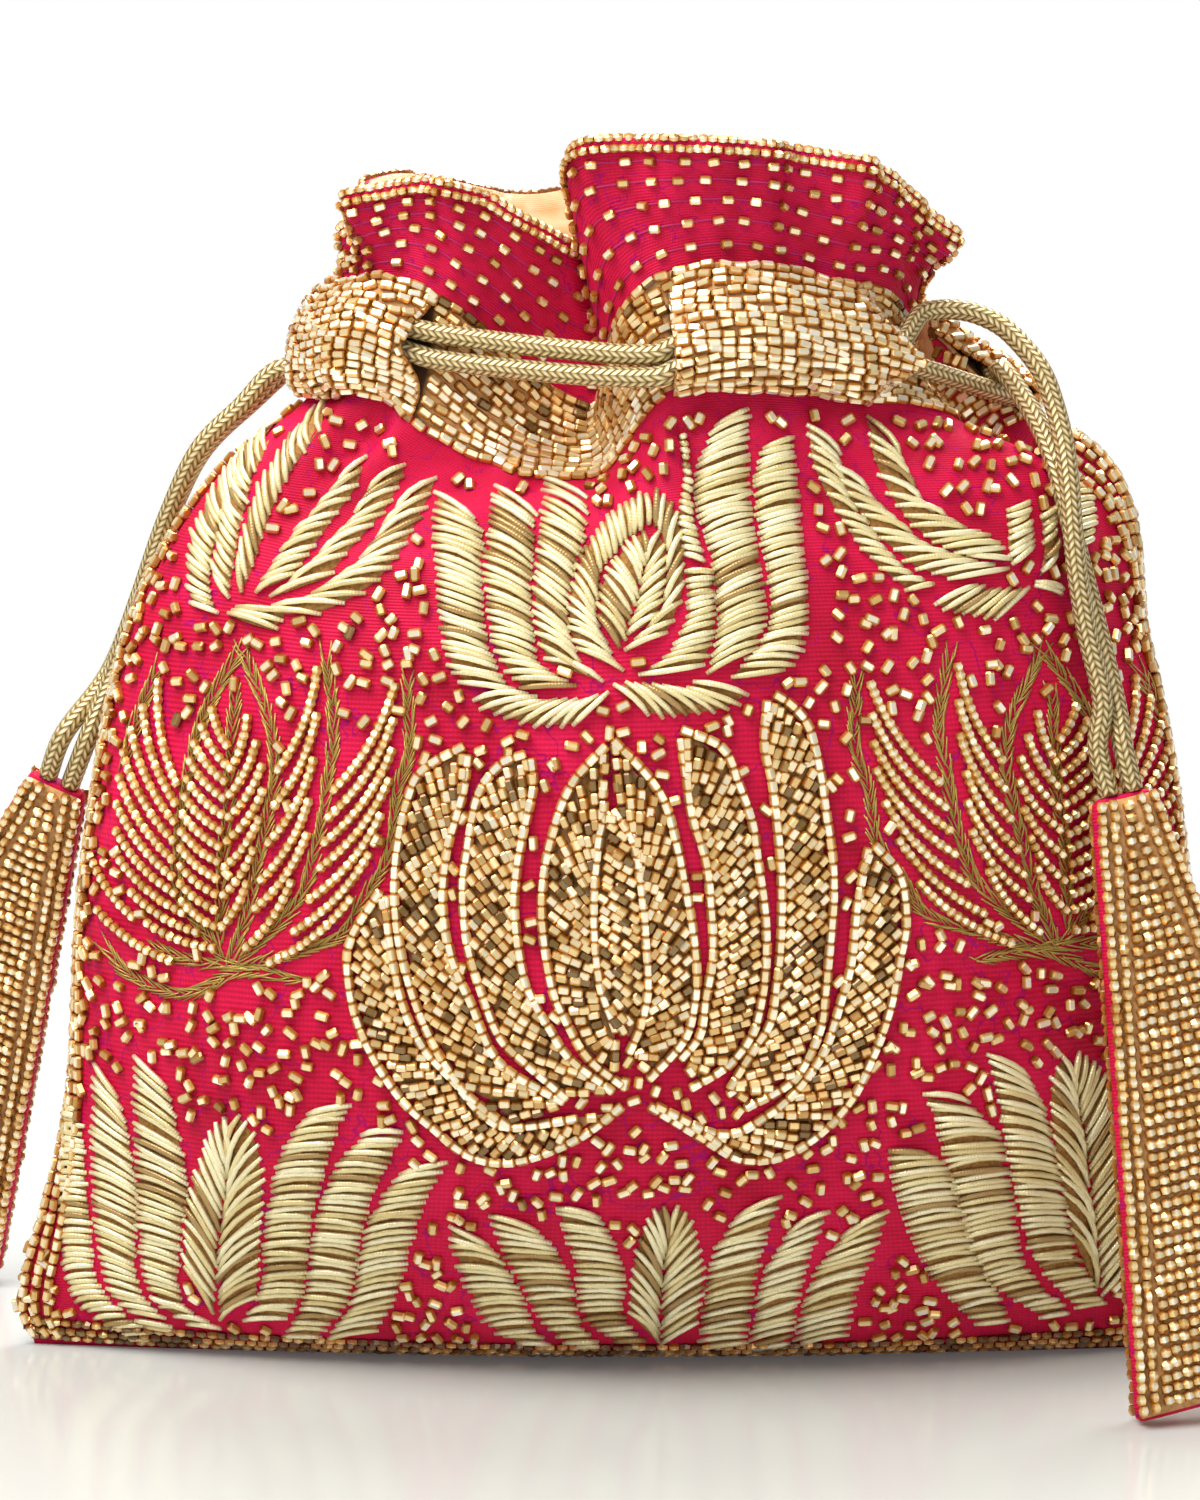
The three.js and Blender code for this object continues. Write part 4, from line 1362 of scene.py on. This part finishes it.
def makeScatter():
    # a shaken grid of places, those near a motif left out
    cell, spacing = scatterFacts["cell"], scatterFacts["spacing"]
    shape = (view["width"] // cell, view["height"] // cell)
    taken = np.zeros(shape, bool)
    reach = int(scatterFacts["clear"] / cell)
    base = (covered / cell).astype(int)
    for dx in range(-reach, reach + 1):
        for dy in range(-reach, reach + 1):
            spot = np.clip(base + (dx, dy), 0, np.array(shape) - 1)
            taken[spot[:, 0], spot[:, 1]] = True
    station = np.linspace(*scatterFacts["stations"], 60)
    climb = runAlong(pouch(270.0, station))
    fine = np.linspace(*scatterFacts["turns"], 240)
    shake, wander = scatterFacts["shake"], scatterFacts["wander"]
    turns, stations = [], []
    for i, row in enumerate(np.arange(0, climb[-1], spacing)):
        s = np.interp(row, climb, station)
        run = runAlong(pouch(fine, s))
        even = np.arange((i % 2) * spacing / 2, run[-1], spacing)
        even = even + chance.uniform(-shake, shake, len(even))
        turns.append(np.interp(even, run, fine))
        stations.append(s + chance.uniform(-wander, wander, len(even)))
    turn, station = np.concatenate(turns), np.concatenate(stations)
    cells = np.clip((toPixel(pouch(turn, station)) / cell).astype(int), 0, np.array(shape) - 1)
    bare = ~taken[cells[:, 0], cells[:, 1]]
    turn, station = turn[bare], station[bare]
    spots = pouch(turn, station, scatterFacts["lift"])
    normal = pouchNormal(turn, station)
    across = unit(pouch(turn + 0.4, station) - pouch(turn - 0.4, station))
    climb = np.cross(normal, across)
    angle = chance.uniform(0, np.pi, len(turn))[:, None]
    tip = chance.normal(0, scatterFacts["tip"], (len(turn), 1))
    axes = across * np.cos(angle) + climb * np.sin(angle) + normal * tip
    length = scatterFacts["length"] * chance.uniform(0.85, 1.15, len(turn))
    beads = beadShapes(spots, axes, normal, length, scatterFacts["radius"], "bevelled")
    bothSides("scattered_beads", *beads, beadGlass, "beads")


makeScatter()


# beaded tunnels round the neck, the running rows of the frill, and the beaded edges
neckFacts = {
    "wall": 1.4,
    "mouthWall": 0.25,  # the share of the wall at a mouth
    "columns": 30,  # of a tunnel's grid
    "gridRows": 17,
    "rows": 16,  # of beads on a tunnel
    "foldRows": 12,
    "edge": 0.35,  # how far the tunnels stand off where they are sewn down
    "mouth": 8.0,  # degrees over which a tunnel narrows to its cords
    "pale": 0.25,  # how much more lining shows than in other beads
    "shade": 0.65,  # painted shade: how much darker the beads are towards the top of a fold
    "tape": (0.35, 0.05),  # how far the tape's two faces stand off
    # painted shade: the tone of the tape inside the tunnels
    "dark": 0.15,
    "waver": [(0.012, 17, 1.3), (0.008, 41, 2.9)],  # size, count, and phase from row to row
    "bead": {"pitch": 2.6, "length": 2.45, "radius": 0.86, "lift": 0.4, "shake": 0.25},
    "rimBead": {"pitch": 2.0, "length": 1.8, "radius": 0.75, "lift": 0.1, "shake": 0.1},
}


def tunnelOut(turn, station):
    # how far a tunnel's outer face stands off: a sine arch, full in the tunnel's middle and drawn
    # to a narrow roll about the cords at its mouths
    up = np.clip(station - casingLow, 0, 1) ** (np.log(0.5) / np.log(cordShare(turn % 360)))
    rise = pouchShape["gap"] + cordFacts["room"] + neckFacts["wall"] - neckFacts["edge"]
    total = np.zeros(np.broadcast(turn, station).shape)
    for first, last in tunnels.values():
        inside = (turn % 360 >= first) & (turn % 360 <= last)
        mouth = np.minimum(turn % 360 - first, last - turn % 360)
        narrow = 1 - np.clip(mouth / neckFacts["mouth"], 0, 1)
        arch = neckFacts["edge"] + rise * np.sin(np.pi * up) ** (0.6 + 3.0 * narrow**2)
        total = np.where(inside & (station >= casingLow) & (station <= casingTop), arch, total)
    return total


def skin(turn, station):
    # the outermost cloth: the silk, or a tunnel where there is one
    return pouch(turn, station, tunnelOut(turn, station))


def rowOfBeads(turns, stations, pitch, length, radius, lift, shake=0.0, pale=0.0, cut="bevelled"):
    # beads a pitch apart along a line on the skin, each lying along the line
    run = runAlong(skin(turns, stations))
    even = np.arange(pitch / 2, run[-1], pitch)
    even = even + chance.uniform(-shake, shake, len(even))
    turn, station = np.interp(even, run, turns), np.interp(even, run, stations)
    ahead = np.interp(even + 0.4, run, turns), np.interp(even + 0.4, run, stations)
    behind = np.interp(even - 0.4, run, turns), np.interp(even - 0.4, run, stations)
    axes = skin(*ahead) - skin(*behind) + chance.normal(0, 0.04 + shake * 0.05, (len(even), 3))
    climb = skin(turn, station + 0.01) - skin(turn, station - 0.01)
    across = skin(turn + 0.2, station) - skin(turn - 0.2, station)
    normals = unit(np.cross(across, climb))
    return beadShapes(skin(turn, station) + normals * lift, axes, normals, length, radius, cut, pale)


def makeTunnel(name):
    # an outer face, and an inner one a wall's thickness nearer the silk, thinner by a smooth step at
    # the mouths and never more than a share of the way down
    first, last = tunnels[name]
    turns = np.linspace(first, last, neckFacts["columns"])
    stations = np.linspace(casingLow, casingTop, neckFacts["gridRows"])[:, None]
    out = tunnelOut(turns[None, :], stations)
    thin = neckFacts["mouthWall"]
    inwards = np.minimum(turns - first, last - turns)
    wall = neckFacts["wall"] * (thin + (1 - thin) * step(0, neckFacts["mouth"], inwards))
    outer = pouch(turns[None, :], stations, out)
    inner = pouch(turns[None, :], stations, out - np.minimum(wall[None, :], 0.6 * out))
    points, quads = clothWall(outer, inner)
    # painted shade: the inner face gets a uv of 0, which the gold cloth darkens as the shade inside the
    # tunnel
    uv = np.repeat([[1.0, 1.0], [0.0, 0.0]], len(points) // 2, axis=0)
    piece = buildMesh(name + "_cloth", points, quads, uv, goldGround, "silk")
    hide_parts(name)


def makeCasingTape():
    # gold tape under the casing's beads, all round the neck and just off the silk
    turns = np.linspace(0, 360, 2 * clothGrid["columns"] - 1)[None, :-1]
    stations = np.linspace(0, hemStation, clothGrid["rows"])
    stations = stations[(stations > casingLow) & (stations < casingTop)][:, None]
    points, quads = clothWall(*[pouch(turns, stations, off) for off in neckFacts["tape"]], ring=True)
    # painted shade: the tape inside a tunnel is darkened as the tunnel's shade
    hidden = np.tile((tunnelOut(turns, stations) > 0).ravel(), 2)  # in the dark of a tunnel
    uv = np.where(hidden, neckFacts["dark"], 1.0)[:, None] * np.ones(2)
    buildMesh("casing_tape", points, quads, uv, goldGround, "silk")


def makeNeckBeads():
    # close rows that waver a little, broken where a tunnel begins, and a row down the rim of each mouth
    shapes = []
    marks = sorted(edge for pair in tunnels.values() for edge in pair)
    for a, b in zip(marks, marks[1:] + [marks[0] + 360]):
        lobe = (a, b) in tunnels.values()
        rows = neckFacts["rows"] if lobe else neckFacts["foldRows"]
        turns = np.linspace(a + 0.3, b - 0.3, 60)
        for k in range(rows):
            up = (k + 0.5) / rows
            rowWaves = [(size, count, phase * k) for size, count, phase in neckFacts["waver"]]
            waver = waves(rowWaves, np.radians(turns))
            stations = np.clip(casingLow + up + waver, casingLow, casingTop)
            # painted shade: the rows in a fold are darkened towards its top, where the fold's recess is in
            # shade
            pale = neckFacts["pale"] - (0 if lobe else neckFacts["shade"] * up)
            shapes.append(rowOfBeads(turns, stations, **neckFacts["bead"], pale=pale))
    stations = np.linspace(casingLow + 0.05, casingTop - 0.05, 40)
    for first, last in tunnels.values():
        for mark in (first + 0.5, last - 0.5):
            turns = np.full_like(stations, mark)
            shapes.append(rowOfBeads(turns, stations, **neckFacts["rimBead"]))
    buildMesh("neck_beads", *joinShapes(shapes), beadGlass, "beads")


makeCasingTape()
for name in tunnels:
    makeTunnel(name)
makeNeckBeads()
print("neck made")


frillFacts = {
    "rows": [7.14, 7.33, 7.51, 7.68, 7.83],
    "bead": {"pitch": 5.2, "length": 2.0, "radius": 0.78, "lift": 0.6, "shake": 0.8},
    "thread": (0.15, 0.2),  # lift and radius
    "waver": [(0.004, 37, 0.0)],
    "hem": [(7.93, 0.6), (8.0, -0.3)],  # station and lift
    "hemBead": {"pitch": 1.7, "length": 1.55, "radius": 0.76, "pale": 0.1, "cut": "seed"},
}


def makeFrillBeads():
    # spaced running rows with their thread outside, and two close rows on the hem
    around = np.linspace(0, 360, 720)
    rows = np.array(frillFacts["rows"])
    shapes = [rowOfBeads(around, np.full_like(around, row), **frillFacts["bead"]) for row in rows]
    buildMesh("frill_beads", *joinShapes(shapes), beadGlass, "beads")
    turns = np.tile(np.linspace(0, 360, 240), (len(rows), 1))
    stations = rows[:, None] + waves(frillFacts["waver"], np.radians(turns))
    points, quads = tubes(turns, stations, *frillFacts["thread"])
    buildMesh("frill_thread", points, quads, np.zeros((len(points), 2)), sewingThread, "silk")
    shapes = []
    for row, lift in frillFacts["hem"]:
        shapes.append(rowOfBeads(around, np.full_like(around, row), **frillFacts["hemBead"], lift=lift))
    piece = buildMesh("hem_beads", *joinShapes(shapes), beadGlass, "beads")
    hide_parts("hem_edging_front", "hem_edging_back")


makeFrillBeads()


seamFacts = {
    "stations": (0.2, 5.8),
    "out": (1.0, 3.5, 6.0),  # how far from the seam a row runs
    "bead": {"pitch": 2.5, "length": 2.1, "radius": 0.92, "lift": 0.7, "shake": 0.15},
    "sides": {"left": [(180, 1), (180, -1)], "right": [(360, -1), (360, 1)]},  # turn and way
}
footFacts = {
    "rows": (0.22, 0.42, 0.63),
    "bead": {"pitch": 2.0, "length": 1.75, "radius": 0.78, "lift": 0.5, "shake": 0.2, "cut": "seed"},
    # painted shade: the foot's beads are darkened as the shade under the bag
    "pale": -0.45,
    "sides": {"front": (181, 359), "back": (1, 179)},
}


def seamTurns(stations, seam, way, out):
    # the turn that lies a distance of cloth away from a seam, station by station
    fine = seam + way * np.linspace(0, 30, 120)
    spots = pouch(fine[None, :], stations[:, None])
    run = np.cumsum(np.linalg.norm(np.diff(spots, axis=1), axis=2), axis=1)
    run = np.concatenate([np.zeros((len(stations), 1)), run], axis=1)
    return np.array([np.interp(out, row, fine) for row in run])


def makeSeamBeads():
    # three rows each side of a side seam
    stations = np.linspace(*seamFacts["stations"], 160)
    for name, ways in seamFacts["sides"].items():
        shapes = []
        for seam, way in ways:
            for out in seamFacts["out"]:
                turns = seamTurns(stations, seam, way, out)
                shapes.append(rowOfBeads(turns, stations, **seamFacts["bead"]))
        piece = buildMesh(name + "_seam_beads", *joinShapes(shapes), beadGlass, "beads")
        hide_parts("seam_edging_" + name)


def makeFootBeads():
    # three rows along the foot, front and back, darkened as painted shade under the bag
    for name, ends in footFacts["sides"].items():
        turns = np.linspace(*ends, 400)
        shapes = []
        for row in footFacts["rows"]:
            stations = np.full_like(turns, row)
            shapes.append(rowOfBeads(turns, stations, **footFacts["bead"], pale=footFacts["pale"]))
        piece = buildMesh(name + "_foot_beads", *joinShapes(shapes), beadGlass, "beads")
        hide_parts("foot_edging_" + name)


makeSeamBeads()
makeFootBeads()
print("frill and edges beaded")


# the tabs at the cords' ends: stiffened silk between two faces of beads
tabFacts = {
    "sides": 16,
    "rows": 30,
    "rounding": [(0.0, 1.2), (0.8, 0.2)],  # how far from an end, and how far the silk is tucked in
    "squared": (0.3, 0.5),  # powers of the cosine and the sine round the section
    "margin": (0.8, 0.7),  # of silk beside the gold cloth and at its ends
    "ground": (0.25, -0.3),  # how far the gold cloth's faces stand off the core
    "lift": 0.8,
    "rowPitch": 2.07,
    "beadPitch": 1.8,
    "clear": 4.6,  # from a row's end to the tab's edge
    "edgeRows": (0.9, 3.1),
    "edgePitch": 1.9,
    "edgeLean": 0.165,
    "bead": (1.75, 0.95),  # length and radius
    "pale": 0.1,
}


def tabHalf(drop):
    # half the width at a drop below the top
    top, bottom = tabShape["topWidth"] / 2, tabShape["bottomWidth"] / 2
    return top + (bottom - top) * drop / tabShape["length"]


def makeTabSilk(side):
    # a flat section with rounded edges down the tab's length, tucked in at both ends
    turned, top = tabFrame(side)
    length, sides, rows = tabShape["length"], tabFacts["sides"], tabFacts["rows"]
    near, tucked = np.array(tabFacts["rounding"]).T
    drops = np.concatenate([near, np.linspace(3, length - 3, rows), length - near[::-1]])[:, None]
    tuck = np.concatenate([tucked, np.zeros(rows), tucked[::-1]])[:, None]
    angle = np.linspace(0, 2 * np.pi, sides, endpoint=False)
    c, s = np.cos(angle), np.sin(angle)
    wide, thick = tabFacts["squared"]
    x = np.sign(c) * np.abs(c) ** wide * (tabHalf(drops) - tuck)
    y = np.sign(s) * np.abs(s) ** thick * (tabShape["core"] / 2 - tuck / 2)
    local = np.stack(np.broadcast_arrays(x, y, -drops), axis=-1).reshape(-1, 3)
    quads = gridQuads(len(drops), sides, 0, ring=True)[:, ::-1]
    k = np.arange(1, sides // 2 - 1)
    caps = np.stack([k, sides - k, sides - k - 1, k + 1], axis=-1)
    quads = np.concatenate([quads, caps[:, ::-1], caps + (len(drops) - 1) * sides])
    piece = buildMesh(side + "_tab_silk", local @ turned.T + top, quads, local[:, [0, 2]], silk, "silk")
    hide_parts(side + "_tab_core")


def makeTabGround(side, face, way):
    # gold cloth under the beads, a margin narrower than the tab
    turned, top = tabFrame(side)
    beside, atEnds = tabFacts["margin"]
    fall = np.linspace(atEnds, tabShape["length"] - atEnds, 14)[:, None]
    wide = np.linspace(-1, 1, 5) * (tabHalf(fall) - beside)
    layers = []
    for off in tabFacts["ground"]:
        out = way * (tabShape["core"] / 2 + off)
        layers.append(np.stack(np.broadcast_arrays(wide, out, -fall), axis=-1))
    points, quads = clothWall(*layers)
    points, uv = points @ turned.T + top, np.ones((len(points), 2))
    buildMesh(f"{side}_tab_{face}_ground", points, quads[:, ::way], uv, goldGround, "silk")


def makeTabBeads(side, face, way):
    # close rows across the tab, and two rows down each edge
    turned, top = tabFrame(side)
    length, pitch = tabShape["length"], tabFacts["rowPitch"]
    spots, axes = [], []
    for row in np.arange(pitch, length - 1, pitch):
        reach = tabHalf(row) - tabFacts["clear"]
        if reach > 0.8:
            count = max(int(2 * reach / tabFacts["beadPitch"]), 1)
            xs = (np.arange(count) + 0.5) / count * 2 * reach - reach
            spots.append(np.stack([xs, np.zeros(count), np.full(count, -row)], axis=-1))
            axes.append(np.tile([1.0, 0, 0], (count, 1)))
    run = np.arange(1.4, length - 1.2, tabFacts["edgePitch"])
    for inset in tabFacts["edgeRows"]:
        for edge in (-1, 1):
            xs = edge * (tabHalf(run) - inset)
            spots.append(np.stack([xs, np.zeros(len(run)), -run], axis=-1))
            axes.append(np.tile([edge * tabFacts["edgeLean"], 0, -1.0], (len(run), 1)))
    spots, axes = np.concatenate(spots), np.concatenate(axes)
    spots[:, 1] = way * (tabShape["core"] / 2 + tabFacts["lift"]) + chance.normal(0, 0.08, len(spots))
    spots[:, [0, 2]] += chance.normal(0, 0.1, (len(spots), 2))
    axes = axes + chance.normal(0, 0.06, axes.shape)
    spots, axes = spots @ turned.T + top, axes @ turned.T
    normals = np.tile(np.array([0.0, way, 0.0]) @ turned.T, (len(spots), 1))
    shape = beadShapes(spots, axes, normals, *tabFacts["bead"], "seed", tabFacts["pale"])
    piece = buildMesh(f"{side}_tab_{face}_beads", *shape, beadGlass, "beads")
    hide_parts(f"{side}_tab_{face}")


for side in ("right", "left"):
    makeTabSilk(side)
    for face, way in (("front", -1), ("back", 1)):
        makeTabGround(side, face, way)
        makeTabBeads(side, face, way)
print("tabs made")


# a white table, lamps and a white room, in metres
tableFacts = {
    "behind": (-0.06, 0.3),  # where the fade to white begins and is full
    "far": (0.25, 0.6),
    "corners": [(-4.0, -2.0, 0.0), (4.0, -2.0, 0.0), (4.0, 6.0, 0.0), (-4.0, 6.0, 0.0)],
}
# size, power, place and aim
lamps = {
    "key": (0.7, 13.0, (-0.36, -0.32, 0.87), (0, 0, 0.17)),
    "fill": (0.6, 1.7, (0.4, -1.0, 0.38), (0, 0, 0.12)),
    "back": (0.7, 12.0, (0.12, 0.4, 0.85), (0, 0, 0.17)),
}


# polished white board: a soft mirror close to the bag, and plain white behind it and far off
def tableMaterial():
    material, tree, shader = newMaterial("whiteTable", Roughness=0.16, Specular_IOR_Level=0.5)
    shader.inputs["Base Color"].default_value = linear("#c8cac6")
    place = addNode(tree, "TexCoord").outputs["Object"]
    back = addNode(tree, "SeparateXYZ", Vector=place).outputs[1]
    away = addNode(tree, "VectorMath", {"operation": "LENGTH"}, in0=place).outputs["Value"]
    smooth = {"interpolation_type": "SMOOTHSTEP"}
    fades = []
    for value, (begins, full) in ((back, tableFacts["behind"]), (away, tableFacts["far"])):
        fading = addNode(tree, "MapRange", smooth, Value=value, From_Min=begins, From_Max=full)
        fades.append(fading.outputs[0])
    fade = addNode(tree, "Math", {"operation": "MAXIMUM"}, in0=fades[0], in1=fades[1]).outputs[0]
    # only for what the camera sees directly, in a reflection or through glass
    rays = addNode(tree, "LightPath").outputs
    seen = rays["Is Camera Ray"]
    for other in ("Is Glossy Ray", "Is Transmission Ray"):
        seen = addNode(tree, "Math", {"operation": "MAXIMUM"}, in0=seen, in1=rays[other]).outputs[0]
    share = addNode(tree, "Math", {"operation": "MULTIPLY"}, in0=fade, in1=seen).outputs[0]
    white = addNode(tree, "Emission", Color=linear("#ffffff"), Strength=1.0)
    mixed = addNode(tree, "MixShader", Fac=share, in1=shader.outputs[0], in2=white.outputs[0])
    tree.links.new(mixed.outputs[0], tree.nodes["Material Output"].inputs["Surface"])
    return material


def makeStage():
    # one wide face at the height of the bag's foot
    mesh = bpy.data.meshes.new("table")
    mesh.from_pydata(tableFacts["corners"], [], [(0, 1, 2, 3)])
    mesh.materials.append(tableMaterial())
    table = bpy.data.objects.new("table", mesh)
    bpy.context.collection.objects.link(table)


def makeLight(name, size, power, place, aim):
    # a square lamp whose back points straight away from its aim
    data = bpy.data.lights.new(name, "AREA")
    data.size = size
    data.energy = power
    lamp = bpy.data.objects.new(name, data)
    lamp.location = place
    back = unit(np.array(place) - np.array(aim))
    lamp.rotation_euler = (math.acos(back[2]), 0, math.atan2(back[1], back[0]) + math.pi / 2)
    bpy.context.collection.objects.link(lamp)


def makeWorld():
    # soft light from all round, and plain white where the camera sees past the table
    world = bpy.data.worlds.new("studio")
    bpy.context.scene.world = world
    world.use_nodes = True
    tree = world.node_tree
    tree.nodes.clear()
    room = addNode(tree, "Background", Color=linear("#ffffff"), Strength=0.33)
    white = addNode(tree, "Background", Color=linear("#ffffff"), Strength=1.0)
    seen = addNode(tree, "LightPath").outputs["Is Camera Ray"]
    both = addNode(tree, "MixShader", Fac=seen, in1=room.outputs[0], in2=white.outputs[0])
    addNode(tree, "OutputWorld", Surface=both.outputs[0])


makeStage()
makeWorld()
for name, facts in lamps.items():
    makeLight(name, *facts)
print("stage made")
made = [piece.data for piece in bpy.data.objects if piece.type == "MESH" and piece not in cadPieces]
print("triangles", sum(len(mesh.loops) - 2 * len(mesh.polygons) for mesh in made))
